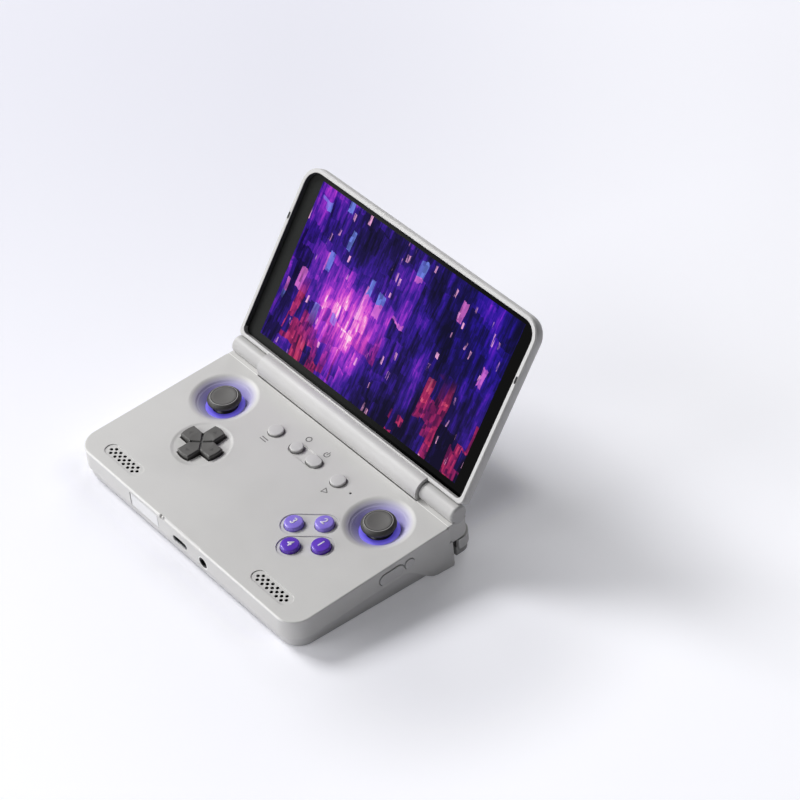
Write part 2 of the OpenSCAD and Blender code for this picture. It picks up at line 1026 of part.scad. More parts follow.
module trigger_springs()
  color([0.6, 0.6, 0.6])
  seat()
  both()
  translate([shoulder_pin_x, shoulder_pin_y, 0])
  difference() {
    rod(1.7, shoulder_top + 0.1, pocket_z);
    rod(shoulder_pin_r, -30, 0);
  }

module status_lens()
  color([0.4, 0.4, 0.42])
  seat()
  translate([lens_x, lens_y, 0])
  rod(0.5, -plate, -0.1);

// round cable in the hinge line that turns down into the base
module display_flex()
  color([0.5, 0.35, 0.1])
  seat()
  translate([0, hinge_y, hinge_z]) {
    rod_x(0.8, -knuckle_out + 3, -30);
    translate([-knuckle_out + 3, 0, 0])
      rod(0.8, -7.8, 0.6);
  }

module base_magnets()
  color([0.6, 0.6, 0.63])
  seat()
  both()
  translate([magnet_x, 27, 0])
  rod(1.6, -plate - 1.6, -plate);

module rumble_motor()
  color([0.6, 0.6, 0.62])
  seat()
  level()
  translate([rumble_x, 31, 0])
  rod(rumble_r, floor_t, floor_t + rumble_h);

module card_flap()
  color([0.86, 0.86, 0.86])
  seat()
  translate([flap_left + 0.6, flap_t / 2, 0]) {
    rod(flap_t / 2, flap_low, flap_top);
    box(0, flap_w - 0.6, -flap_t / 2, flap_t / 2, flap_low, flap_top);
    rod(flap_pin, flap_low - 0.45, flap_top + 0.35);
  }

// Thumb sticks: gimbal ring tilting about x, stem tilting about y, cap that clicks down

module stick_yoke()
  translate([stick_x, stick_y, pivot_z]) {
    difference() {
      rod(gimbal_r, -gimbal_h / 2, gimbal_h / 2);
      rod(gimbal_in, -gimbal_h, gimbal_h);
      rod_y(stub_r + fit, -gimbal_r - 1, gimbal_r + 1);
    }
    for (side = [0, 1])
      mirror([side, 0, 0])
        rod_x(trunnion_r, gimbal_in + 0.4, trunnion_out);
  }

module stick_yoke_left()
  color([0.5, 0.5, 0.52])
  seat()
  mirror([1, 0, 0])
  stick_yoke();

module stick_yoke_right()
  color([0.5, 0.5, 0.52])
  seat()
  stick_yoke();

module stick_stem()
  translate([stick_x, stick_y, pivot_z]) {
    rod_y(hub_r, -hub_len / 2, hub_len / 2);
    rod_y(stub_r, -stub_out, stub_out);
    rod(stem_r, 0, -pivot_z - 1);
    difference() {
      sphere(dome_r);
      sphere(dome_r - 0.9);
      box(-10, 10, -10, 10, -10, 3.8);
    }
  }

module stick_stem_left()
  color([0.16, 0.16, 0.17])
  seat()
  mirror([1, 0, 0])
  stick_stem();

module stick_stem_right()
  color([0.16, 0.16, 0.17])
  seat()
  stick_stem();

module stick_cap()
  translate([stick_x, stick_y, 0])
  difference() {
    union() {
      rotate_extrude()
        polygon([[0, -1.6], [stick_cap_r - 0.5, -1.6], [stick_cap_r - 0.1, -1.1],
            [stick_cap_r, -0.6], [stick_cap_r - 0.1, -0.1], [stick_cap_r - 0.4, 0.4],
            [stick_cap_r - 0.85, 0.8], [stick_cap_r - 1.3, 0.98], [stick_cap_r - 1.5, 1],
            [0, 1]]);
      rod(2.9, -2.1, -1.5);
    }
    translate([0, 0, 24.6])
      sphere(r = 24, $fn = 96);
    rod(stem_r + fit, -3, -0.45);
  }

module stick_cap_left()
  color([0.2, 0.2, 0.2])
  seat()
  mirror([1, 0, 0])
  stick_cap();

module stick_cap_right()
  color([0.2, 0.2, 0.2])
  seat()
  stick_cap();

// Direction pad: carrier ring tilting about x, cross tilting about y

module dpad_carrier()
  color([0.5, 0.5, 0.52])
  seat()
  translate([-dpad_x, dpad_y, dpad_pivot]) {
    difference() {
      rod(carrier_r, -carrier_h / 2, carrier_h / 2);
      rod(carrier_in, -carrier_h, carrier_h);
      rod_y(pin_r + fit, -carrier_r - 1, carrier_r + 1);
    }
    for (side = [0, 1])
      mirror([side, 0, 0])
        rod_x(pin_r, carrier_in + 0.4, bracket_out - 0.2);
  }

module dpad()
  color([0.4, 0.4, 0.4])
  seat()
  translate([-dpad_x, dpad_y, 0]) {
    difference() {
      translate([0, 0, dpad_low]) {
        linear_extrude(dpad_top - 0.4 - dpad_low)
          cross_shape(dpad_r, dpad_arm);
        linear_extrude(dpad_top - 0.14 - dpad_low)
          cross_shape(dpad_r - 0.1, dpad_arm - 0.2);
        linear_extrude(dpad_top - dpad_low)
          cross_shape(dpad_r - 0.32, dpad_arm - 0.64);
      }
      for (a = [45, 135])
        rotate([0, 0, a])
          translate([0, 0, dpad_top - 0.1])
          rotate([0, 90, 0])
          cylinder(r = 0.55, h = 9, center = true);
      translate([0, 0, 40 + dpad_top - 0.35])
        sphere(r = 40, $fn = 96);
    }
    rod(1.3, dpad_pivot, dpad_low + small);
    translate([0, 0, dpad_pivot]) {
      rod_y(1.5, -2.3, 2.3);
      rod_y(pin_r, -carrier_r + 0.2, carrier_r - 0.2);
    }
  }

// Push buttons

// plunger with a domed top of radius reach and a top edge rounded by e
module push_button(r, top, flange, reach, e) {
  z_edge = top - r * r / (2 * reach);
  z_in = top - (r - e) * (r - e) / (2 * reach);
  intersection() {
    rotate_extrude()
      polygon([[0, flange_top - small], [r, flange_top - small], [r, z_edge - e],
          [r - 0.13 * e, z_edge - 0.5 * e], [r - 0.5 * e, z_edge - 0.1 * e],
          [r - e, z_in], [r - e, top + 1], [0, top + 1]]);
    translate([0, 0, top - reach])
      sphere(r = reach, $fn = 96);
  }
  rod(r + flange, flange_low, flange_top);
  rod(post_r, post_low, flange_low + small);
}

module face_button(i)
  at_face(i)
    push_button(face_r, face_top, face_flange, 24, 0.45);

module face_button_right()
  color([0.42, 0.25, 0.75])
  seat()
  face_button(0);

module face_button_rear()
  color([0.54, 0.46, 0.85])
  seat()
  face_button(1);

module face_button_left()
  color([0.54, 0.46, 0.85])
  seat()
  face_button(2);

module face_button_front()
  color([0.42, 0.25, 0.75])
  seat()
  face_button(3);

module select_key()
  color([0.8, 0.8, 0.8])
  seat()
  translate([select_x, menu_y, 0])
  push_button(key_r, key_top, 0.7, 30, 0.35);

module start_key()
  color([0.8, 0.8, 0.8])
  seat()
  translate([start_x, menu_y, 0])
  push_button(key_r, key_top, 0.7, 30, 0.35);

module home_key()
  color([0.8, 0.8, 0.8])
  seat()
  translate([home_x, menu_y, 0])
  push_button(home_r, key_top, 0.7, 30, 0.35);

module power_key()
  color([0.82, 0.82, 0.82])
  seat()
  translate([power_x, menu_y, 0])
  intersection() {
    union() {
      pill(power_w, power_d, flange_top - small, key_top - 0.5);
      pill(power_w - 0.14, power_d - 0.14, flange_top, key_top - 0.32);
      pill(power_w - 0.4, power_d - 0.4, flange_top, key_top);
      pill(power_w + 0.9, power_d + 0.9, flange_low, flange_top);
      rod(post_r, post_low, flange_low + small);
    }
    translate([0, 0, key_top - 30])
      sphere(r = 30, $fn = 96);
  }

module volume_rocker()
  color([0.8, 0.8, 0.79])
  seat()
  translate([half_w, volume_y, volume_z]) {
    rotate([90, 0, 90])
      pill(volume_len, volume_h, -1.9, 0.35);
    difference() {
      box(-rocker_in - 1.3, -1.8, -1.3, 1.3, -1.9, 1.9);
      translate([-rocker_in, 0, 0])
        rod(pin_r + fit, -3, 3);
    }
  }

module side_key()
  color([0.8, 0.8, 0.79])
  seat()
  translate([half_w, side_key_y, volume_z]) {
    rod_x(side_key_r, -1.9, 0.25);
    rod_x(side_key_r + 0.6, -2.5, -1.9 + small);
  }

// Shoulder keys: each turns on the upright pin at its inner end

module shoulder_outline(x_out, y_back, r) {
  y_front = deck_depth + shoulder_room;
  translate([shoulder_in, y_front])
    square([x_out - shoulder_in, y_back - r - y_front]);
  translate([shoulder_in + 1, y_front])
    square([x_out - r - shoulder_in - 1, y_back - y_front]);
  intersection() {
    translate([x_out - r, y_back - r])
      circle(r);
    translate([shoulder_in, y_front])
      square(2 * r + x_out - shoulder_in);
  }
}

module shoulder_key()
  difference() {
    translate([0, 0, shoulder_low])
      linear_extrude(shoulder_top - shoulder_low)
      shoulder_outline(half_w - 0.4, rear_y + 1, 6);
    translate([0, 0, shoulder_low - 1])
      linear_extrude(shoulder_top - shoulder_low - 0.5)
      difference() {
        translate([shoulder_in + 5.4, 0])
          square([half_w - 2.2 - shoulder_in - 5.4, rear_y - 0.8]);
        translate([shoulder_in, 0])
          square([1, 1]);
      }
    translate([shoulder_pin_x, shoulder_pin_y, 0])
      rod(shoulder_pin_r + fit, -30, 0);
  }

module shoulder_left()
  color([0.78, 0.78, 0.77])
  seat()
  mirror([1, 0, 0])
  shoulder_key();

module shoulder_right()
  color([0.78, 0.78, 0.77])
  seat()
  shoulder_key();

module trigger_key()
  difference() {
    union() {
      translate([0, 0, trigger_low])
        linear_extrude(trigger_top - trigger_low)
        shoulder_outline(half_w - 2.6, rear_y + 1.2, 5);
      translate([half_w - 10, rear_y - 1.2, trigger_low])
        rod(5, 0, trigger_top - trigger_low);
    }
    translate([shoulder_pin_x, shoulder_pin_y, 0])
      rod(shoulder_pin_r + fit, -30, 0);
    translate([shoulder_in + 5.4, deck_depth + 4.6, trigger_low + 1.2])
      cube([12, 5, 10]);
  }

module trigger_left()
  color([0.3, 0.3, 0.32])
  seat()
  mirror([1, 0, 0])
  trigger_key();

module trigger_right()
  color([0.3, 0.3, 0.32])
  seat()
  trigger_key();

// Lid

// plan outline with large corners at the free end and tight ones at the hinge
module lid_plan(hw, s0, s1, r_top, r_low) {
  translate([-(hw - r_top), s0 + r_low])
    square([2 * (hw - r_top), s1 - s0 - r_low]);
  translate([-hw, s0 + r_low])
    square([2 * hw, s1 - s0 - r_low - r_top]);
  translate([-(hw - r_low), s0])
    square([2 * (hw - r_low), r_low + small]);
  for (side = [-1, 1]) {
    translate([side * (hw - r_top), s1 - r_top])
      circle(r_top);
    translate([side * (hw - r_low), s0 + r_low])
      circle(r_low);
  }
}

// material taken off along an edge to round it
module edge_cut(e)
  difference() {
    translate([-1, -1])
      square([e + 1, e + 1]);
    translate([e, e])
      circle(e, $fn = 32);
  }

// body of the lid with its rounded back edges, from n0 at the back up to n1
module lid_shape(inset, n0, n1, e) {
  hw = half_w - inset;
  s0 = low_s + inset;
  s1 = top_s - inset;
  r = lid_corner - inset;
  difference() {
    translate([0, 0, n0])
      linear_extrude(n1 - n0)
      lid_plan(hw, s0, s1, r, max(lid_low_corner - inset, 0.4));
    translate([0, s0, n0])
      along_x(-width, width)
      edge_cut(e);
    translate([0, s1, n0])
      mirror([0, 1, 0])
      along_x(-(hw - r), hw - r)
      edge_cut(e);
    both() {
      translate([-hw, s1 - r, n0])
        rotate([90, 0, 0])
        linear_extrude(s1 - r - s0 + 5)
        edge_cut(e);
      translate([hw - r, s1 - r, n0])
        rotate_extrude(angle = 90)
        translate([r, 0])
        mirror([1, 0])
        edge_cut(e);
    }
  }
}

module barrel_room()
  rod_x(barrel_r, -barrel_length / 2 - 0.1, barrel_length / 2 + 0.1);

module lid_window(n0, n1, grow)
  translate([0, 0, n0])
    linear_extrude(n1 - n0)
    lid_plan(half_w - rim_side + grow, rim_low_s - grow, rim_top_s + grow,
        inner_top_r + grow, inner_low_r + grow);

module lid_back_cover()
  color([0.8, 0.8, 0.79])
  seat()
  lid_pose()
  difference() {
    lid_shape(0, back_n, rim_n - frame_t - seam, back_r);
    barrel_room();
    // seat of the glass and room of the panel behind it
    lid_window(glass_n - glass_t, rim_n, liner_t);
    lid_window(back_n + back_t, glass_n, -1.2);
    // ring grooves, index tick and panel lines on the back
    translate([0, 43, back_n]) {
      for (r = [12.5, 14])
        difference() {
          rod(r + 0.25, -1, 0.3);
          rod(r, -2, 1);
        }
      box(-0.2, 0.2, 14.2, 20, -1, 0.3);
      box(-half_w + 14, -18, -0.15, 0.15, -1, 0.25);
      box(18, half_w - 14, -0.15, 0.15, -1, 0.25);
    }
    translate([0, 14, back_n]) {
      box(-44, 44, -0.15, 0.15, -1, 0.25);
      both()
        box(43.9, 44.2, -4, 0.15, -1, 0.25);
    }
  }

module lid_front_frame()
  color([0.84, 0.84, 0.83])
  seat()
  lid_pose()
  difference() {
    union() {
      translate([0, 0, rim_n - frame_t])
        linear_extrude(frame_t - 0.25)
        lid_plan(half_w, low_s, top_s, lid_corner, lid_low_corner);
      translate([0, 0, rim_n - 0.25 - small])
        linear_extrude(0.25 + small)
        lid_plan(half_w - 0.25, low_s + 0.25, top_s - 0.25, lid_corner - 0.25,
            lid_low_corner - 0.25);
      translate([0, 0, rim_n - frame_t - seam])
        linear_extrude(frame_t)
        lid_plan(half_w - 0.5, low_s + 0.5, top_s - 0.5, lid_corner - 0.5,
            lid_low_corner - 0.5);
    }
    lid_window(glass_n - 1, rim_n + 1, 0);
    lid_window(glass_n - 1, rim_n - 0.1, liner_t);
    barrel_room();
    both()
      bumper_pocket();
  }

module bumper_place()
  translate([half_w - 0.88, 58.2, 0])
  rotate([0, 0, 90])
  children();

module bumper_pocket()
  bumper_place()
  pill(3, 0.84, rim_n - 0.6, rim_n + 1);

module lid_bumpers()
  color([0.12, 0.12, 0.12])
  seat()
  lid_pose()
  both()
  bumper_place()
  pill(3, 0.84, rim_n - 0.6, rim_n + 0.08);

module screen_gasket()
  color([0.18, 0.19, 0.2])
  seat()
  lid_pose()
  difference() {
    lid_window(glass_n, rim_n - 0.1 - small, liner_t);
    lid_window(glass_n - 1, rim_n + 1, 0);
    box(-half_w, half_w, 0, rim_low_s + inner_low_r, glass_n - 1, rim_n + 1);
    barrel_room();
  }

module cover_glass()
  color([0.03, 0.03, 0.04])
  seat()
  lid_pose()
  difference() {
    lid_window(glass_n - glass_t, glass_n, 0.2);
    barrel_room();
  }

module display_panel()
  color([0.2, 0.2, 0.25])
  seat()
  lid_pose()
  box(-panel_half, panel_half, rim_low_s + 2.6, rim_top_s - 1.6,
      glass_n - glass_t - panel_t, glass_n - glass_t);

module lid_magnets()
  color([0.6, 0.6, 0.63])
  seat()
  lid_pose()
  both()
  translate([magnet_x, hinge_y - 27, 0])
  rod(1.6, glass_n - glass_t - 1.5, glass_n - glass_t);

module lid_barrel()
  color([0.8, 0.8, 0.79])
  seat()
  lid_pose()
  difference() {
    rod_x(barrel_r, -barrel_length / 2, barrel_length / 2);
    rod_x(3.6, -barrel_length / 2 + 12, barrel_length / 2 - 12);
    rod_x(shaft_r, -barrel_length / 2 - 1, barrel_length / 2 + 1);
  }

module hinge_shafts()
  color([0.66, 0.66, 0.68])
  seat()
  lid_pose()
  both()
  difference() {
    union() {
      rod_x(shaft_r, barrel_length / 2 - 14, knuckle_out - 6);
      rod_x(2.6, barrel_length / 2 - 16, barrel_length / 2 - 12);
    }
    rod_x(0.9, 0, half_w);
  }

base_top_shell();
base_bottom_shell();
hinge_end_caps();
hinge_sleeves();
main_board();
battery();
heat_sink();
fan_housing();
fan_rotor();
speakers();
usb_port();
audio_jack();
card_reader();
strap_bar();
rubber_feet();
case_screws();
stick_module_left();
stick_module_right();
light_ring_left();
light_ring_right();
dpad_bracket();
button_membranes();
trigger_springs();
trigger_pins();
status_lens();
display_flex();
base_magnets();
rumble_motor();
card_flap();
stick_yoke_left();
stick_stem_left();
stick_cap_left();
stick_yoke_right();
stick_stem_right();
stick_cap_right();
dpad_carrier();
dpad();
face_button_left();
face_button_rear();
face_button_front();
face_button_right();
select_key();
home_key();
power_key();
start_key();
volume_rocker();
side_key();
shoulder_left();
shoulder_right();
trigger_left();
trigger_right();
lid_back_cover();
lid_front_frame();
lid_barrel();
screen_gasket();
cover_glass();
display_panel();
lid_bumpers();
lid_magnets();
hinge_shafts();
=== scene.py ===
import math

import bmesh
import bpy
from mathutils import Matrix, Vector

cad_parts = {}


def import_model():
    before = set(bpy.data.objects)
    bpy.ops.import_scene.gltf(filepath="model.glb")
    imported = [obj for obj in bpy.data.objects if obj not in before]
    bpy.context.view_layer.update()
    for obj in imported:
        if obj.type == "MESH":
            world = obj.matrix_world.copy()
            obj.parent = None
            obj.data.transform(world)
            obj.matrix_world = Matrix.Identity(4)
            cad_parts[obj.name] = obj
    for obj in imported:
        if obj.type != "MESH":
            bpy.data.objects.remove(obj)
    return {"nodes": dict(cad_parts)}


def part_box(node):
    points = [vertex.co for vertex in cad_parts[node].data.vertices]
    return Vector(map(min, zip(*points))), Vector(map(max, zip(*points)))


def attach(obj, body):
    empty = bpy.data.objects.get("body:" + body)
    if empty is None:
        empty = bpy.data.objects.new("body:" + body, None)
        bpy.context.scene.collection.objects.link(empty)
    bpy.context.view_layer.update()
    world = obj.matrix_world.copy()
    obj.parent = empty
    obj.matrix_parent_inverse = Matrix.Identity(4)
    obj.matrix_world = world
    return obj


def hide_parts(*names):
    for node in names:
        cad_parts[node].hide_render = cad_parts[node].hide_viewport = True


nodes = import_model()["nodes"]
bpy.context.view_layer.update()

# Lower half of the base.
# Injection moulded in warm grey plastic with a fine spark-eroded texture, a tone darker than
# the upper half; four screws draw the two together.


class Value:
    """A number on a node's socket; its operators add Math nodes to the same tree."""

    def __init__(self, nodes, socket):
        self.nodes = nodes
        self.socket = socket

    def maths(self, operation, first, second):
        node = self.nodes.add("ShaderNodeMath", {"operation": operation}, {0: first, 1: second})
        return Value(self.nodes, node.outputs[0])

    def __add__(self, other):
        return self.maths("ADD", self, other)

    __radd__ = __add__

    def __sub__(self, other):
        return self.maths("SUBTRACT", self, other)

    def __rsub__(self, other):
        return self.maths("SUBTRACT", other, self)

    def __mul__(self, other):
        return self.maths("MULTIPLY", self, other)

    def __truediv__(self, other):
        return self.maths("DIVIDE", self, other)

    def __pow__(self, other):
        return self.maths("POWER", self, other)

    def __abs__(self):
        return self.maths("ABSOLUTE", self, 0.0)

    def __floor__(self):
        return self.maths("FLOOR", self, 0.0)

    def __lt__(self, other):
        return self.maths("LESS_THAN", self, other)

    def __gt__(self, other):
        return self.maths("GREATER_THAN", self, other)

    def least(self, other):
        return self.maths("MINIMUM", self, other)

    def most(self, other):
        return self.maths("MAXIMUM", self, other)

    def fade(self, start, end):
        """0 before start and 1 after end, smooth in between."""
        settings = {"interpolation_type": "SMOOTHSTEP"}
        inputs = {"Value": self, "From Min": start, "From Max": end}
        return Value(self.nodes, self.nodes.add("ShaderNodeMapRange", settings, inputs).outputs[0])


def paint(code):
    """The linear colour of a written colour such as cfcecc."""
    levels = [int(code[i : i + 2], 16) / 255 for i in (0, 2, 4)]
    linear = [c / 12.92 if c <= 0.04045 else ((c + 0.055) / 1.055) ** 2.4 for c in levels]
    return (*linear, 1.0)


class NodeTree:
    """A tree of nodes, of a material or of a shape that repeats."""

    def __init__(self, tree):
        self.tree = tree

    def add(self, kind, settings=None, inputs=None):
        node = self.tree.nodes.new(kind)
        for key, value in (settings or {}).items():
            setattr(node, key, value)
        for key, value in (inputs or {}).items():
            self.feed(node.inputs[key], value)
        return node

    def feed(self, socket, value):
        if isinstance(value, Value):
            value = value.socket
        if isinstance(value, bpy.types.NodeSocket):
            self.tree.links.new(value, socket)
        else:
            socket.default_value = value


class Finish(NodeTree):
    """A material built from nodes."""

    def __init__(self, name):
        self.material = bpy.data.materials.new(name)
        self.material.use_nodes = True
        super().__init__(self.material.node_tree)
        self.shader = self.tree.nodes["Principled BSDF"]

    def wear(self, **sockets):
        """Set sockets of the shader; an underscore in a name stands for a space."""
        for key, value in sockets.items():
            self.feed(self.shader.inputs[key.replace("_", " ")], value)

    def worn(self, socket):
        """What already feeds a socket of the shader."""
        return self.shader.inputs[socket].links[0].from_socket

    def place(self, shift=(0, 0, 0), turn=0.0):
        """Coordinates in metres, from the row's frame or one shifted and turned about x."""
        coordinates = self.add("ShaderNodeTexCoord").outputs["Object"]
        if not turn and not any(shift):
            return coordinates
        inputs = {"Vector": coordinates, "Location": shift, "Rotation": (turn, 0, 0)}
        return self.add("ShaderNodeMapping", {"vector_type": "TEXTURE"}, inputs).outputs[0]

    def stretched(self, vector, scale):
        node = self.add("ShaderNodeVectorMath", {"operation": "MULTIPLY"}, {0: vector, 1: scale})
        return node.outputs[0]

    def split(self, vector):
        outputs = self.add("ShaderNodeSeparateXYZ", {}, {0: vector}).outputs
        return [Value(self, outputs[i]) for i in range(3)]

    def length(self, x, y):
        return (x * x + y * y) ** 0.5

    def noise(self, vector, scale, detail=2.0, roughness=0.5):
        inputs = {"Vector": vector, "Scale": scale, "Detail": detail, "Roughness": roughness}
        return Value(self, self.add("ShaderNodeTexNoise", {}, inputs).outputs[0])

    def mix(self, factor, first, second, kind="MIX"):
        settings = {"data_type": "RGBA", "blend_type": kind}
        node = self.add("ShaderNodeMix", settings, {0: factor, 6: first, 7: second})
        return node.outputs[2]

    def ramp(self, factor, stops):
        node = self.add("ShaderNodeValToRGB", {}, {0: factor})
        elements = node.color_ramp.elements
        while len(elements) < len(stops):
            elements.new(0.5)
        for element, (position, code) in zip(elements, stops):
            element.position = position
            element.color = paint(code)
        return node.outputs[0]

    def relief(self, height, depth, edge=0.0):
        """Raise the surface by height times depth; sharp edges are eased by edge (metres)."""
        inputs = {"Height": height, "Distance": depth, "Strength": 1.0}
        if edge:
            inputs["Normal"] = self.add("ShaderNodeBevel", {"samples": 6}, {"Radius": edge}).outputs[0]
        self.wear(Normal=self.add("ShaderNodeBump", {}, inputs).outputs[0])


def moulded(name, colour, shade, roughness=0.46, grain=7000.0, depth=0.000006, edge=0.00035):
    """Moulded plastic: fine pitted texture, a slow drift of tone and a few darker specks."""
    finish = Finish(name)
    here = finish.place()
    pits = finish.noise(here, grain, 2.0, 0.6)
    drift = finish.noise(here, 38.0, 2.0)
    tone = finish.mix(drift.fade(0.3, 0.75) * 0.6, colour, shade)
    finish.wear(
        Base_Color=finish.mix(pits.fade(0.58, 0.78) * 0.35, tone, shade),
        Roughness=roughness + (drift - 0.5) * 0.1 + (pits - 0.5) * 0.12,
    )
    finish.relief(pits, depth, edge)
    return finish


def dress(finish, *names):
    """Give CAD nodes their finish."""
    for name in names:
        slots = nodes[name].data.materials
        for i in range(len(slots)):
            slots[i] = finish.material
        if not len(slots):
            slots.append(finish.material)


low_shell = moulded("low_shell_plastic", paint("cfcecd"), paint("c5c4c3"), 0.5)
dress(low_shell, "base_bottom_shell")

# Upper half of the base.
# The same plastic, lighter. The walls of the stick dishes carry a painted violet glow from the
# light rings; painted shade lies in the speaker holes, and painted highlights run along the front
# edge, round the earphone socket and along a crease in from each knuckle.
WEDGE = math.radians(5.5)
SEAT = (0.0, -0.0622919, 0.0143365)
STICK = (0.0492, 0.0585)
DISH_IN = 0.0082
DISH_OUT = 0.0142
DISH_SHADE = (-0.0117, 0.0150)
DISH_RIM = (-0.0006, -0.0001)
DECK_FACE = -0.0003
GRILLE = (0.0479, 0.0081)
GRILLE_HALF = 0.0082
GRILLE_R = 0.0032
GRILLE_DEEP = 0.00045
CREASE = (0.0503, 0.0762)
CREASE_HALF = 0.00014
SOCKET = (0.0139, -0.00645)
SOCKET_R = 0.0029
EDGE_ROUND = 0.0012
EDGE_BAND = (0.0002, 0.0009)
PAD = (-0.0334, 0.0356)
PAD_BOWL = 0.0127
PAD_LIP = 0.0016
PAD_LIP_DEEP = 0.00022
DECK = Matrix.Translation(SEAT) @ Matrix.Rotation(WEDGE, 4, "X")


def painted_light_shell():
    """Shell plastic with painted glow, shade and highlights, measured from the front edge's middle."""
    finish = moulded("shell_plastic", paint("d3d2d0"), paint("c9c8c6"))
    x, y, z = finish.split(finish.place(SEAT, WEDGE))
    reach = finish.length(abs(x) - STICK[0], y - STICK[1])
    # Painted violet glow of the light rings on the dish walls, weaker on one side.
    glow = (1 - reach.fade(DISH_IN, DISH_OUT)) * (1 - z.fade(*DISH_RIM))
    aside = ((abs(x) - STICK[0]) * x / abs(x) - (y - STICK[1])).fade(*DISH_SHADE)
    tone = finish.mix(glow * (0.85 - aside * 0.5), finish.worn("Base Color"), paint("9c90ea"))
    # Painted shade on the walls deep in the speaker holes.
    across = (abs(abs(x) - GRILLE[0]) - GRILLE_HALF).most(0.0)
    hole_shade = (finish.length(across, y - GRILLE[1]) < GRILLE_R) * (z < -GRILLE_DEEP)
    tone = finish.mix(hole_shade, tone, paint("0b0b0c"))
    # A painted highlight along a crease in from each knuckle.
    crease_highlight = (abs(y - CREASE[1]) < CREASE_HALF) * (abs(x) > CREASE[0]) * (z > DECK_FACE)
    # A painted highlight round the earphone socket on the front wall.
    socket_highlight = (finish.length(x - SOCKET[0], z - SOCKET[1]) < SOCKET_R) * (y < EDGE_ROUND)
    # A painted highlight along the rounded front edge.
    front_edge_highlight = (1 - y.fade(*EDGE_BAND)) * z.fade(-EDGE_ROUND, -EDGE_ROUND / 2)
    # All the painted highlights of the shell together.
    painted_highlight = crease_highlight.most(socket_highlight * 0.9).most(front_edge_highlight * 0.75)
    lip = finish.length(x - PAD[0], y - PAD[1]).fade(PAD_BOWL - PAD_LIP, PAD_BOWL)
    inputs = {"Height": lip, "Distance": PAD_LIP_DEEP, "Normal": finish.worn("Normal")}
    finish.wear(
        Base_Color=finish.mix(painted_highlight, tone, paint("f1f0ee")),
        Normal=finish.add("ShaderNodeBump", {}, inputs).outputs[0],
    )
    return finish


dress(painted_light_shell(), "base_top_shell")

# Knuckles at the two ends of the hinge.
# Caps of the shell's plastic, pressed over the hinge sleeves and smooth outside; a tone darker
# than the shell, as painted shade from the lid above.
knuckle = moulded("knuckle_plastic", paint("c4c3c2"), paint("bab9b8"), 0.44)
dress(knuckle, "hinge_end_caps")

# Hinge sleeves and shafts.
# Turned brass sleeves in the knuckles, ground steel shafts in the lid's barrel.


def turned(name, colour, shade, roughness, along, scale=2600.0):
    """Turned or drawn metal, its fine lines drawn out where along is small."""
    finish = Finish(name)
    lines = finish.noise(finish.stretched(finish.place(), along), scale, 3.0, 0.7)
    finish.wear(
        Base_Color=finish.mix(lines.fade(0.35, 0.7), colour, shade),
        Metallic=1.0,
        Roughness=roughness + (lines - 0.5) * 0.25,
    )
    finish.relief(lines, 0.000004, 0.00015)
    return finish


sleeve_brass = turned("sleeve_brass", paint("c9a45c"), paint("a98543"), 0.3, (1, 0.1, 0.1))
shaft_steel = turned("shaft_steel", paint("b9babd"), paint("96979b"), 0.25, (1, 0.1, 0.1))
dress(sleeve_brass, "hinge_sleeves")
dress(shaft_steel, "hinge_shafts")

# Main board.
# Green fibreglass laminate with copper tracks under solder mask; small parts are soldered on
# its upper face in patches.
BOARD_TOP = -0.0080
SOLDER = 0.00005
PART_SHARES = (0.62, 0.4)
PART_CHANCE = 0.62


def board_mask():
    finish = Finish("board_mask")
    flat = finish.place(SEAT, WEDGE)
    edges = {"feature": "DISTANCE_TO_EDGE", "distance": "EUCLIDEAN"}
    cells = finish.add("ShaderNodeTexVoronoi", edges, {"Vector": flat, "Scale": 260.0})
    pads = finish.add("ShaderNodeTexVoronoi", {"feature": "F1"}, {"Vector": flat, "Scale": 420.0})
    track = 1 - Value(finish, cells.outputs[0]).fade(0.03, 0.07)
    dot = 1 - Value(finish, pads.outputs[0]).fade(0.14, 0.2)
    mask = finish.mix(track, paint("12422a"), paint("2b7047"))
    finish.wear(
        Base_Color=finish.mix(dot, mask, paint("c9a765")),
        Metallic=dot * 0.9,
        Roughness=0.35 - dot * 0.1,
        Coat_Weight=0.4,
    )
    finish.relief(track, 0.00002)
    return finish


def in_scene(name, data):
    piece = bpy.data.objects.new(name, data)
    bpy.context.scene.collection.objects.link(piece)
    return piece


def plain_mesh(holder, name):
    """The mesh that an object's modifiers or text come to; the object itself goes."""
    bpy.context.view_layer.update()
    result = holder.evaluated_get(bpy.context.evaluated_depsgraph_get())
    mesh = bpy.data.meshes.new_from_object(result)
    mesh.name = name
    bpy.data.objects.remove(holder)
    return mesh


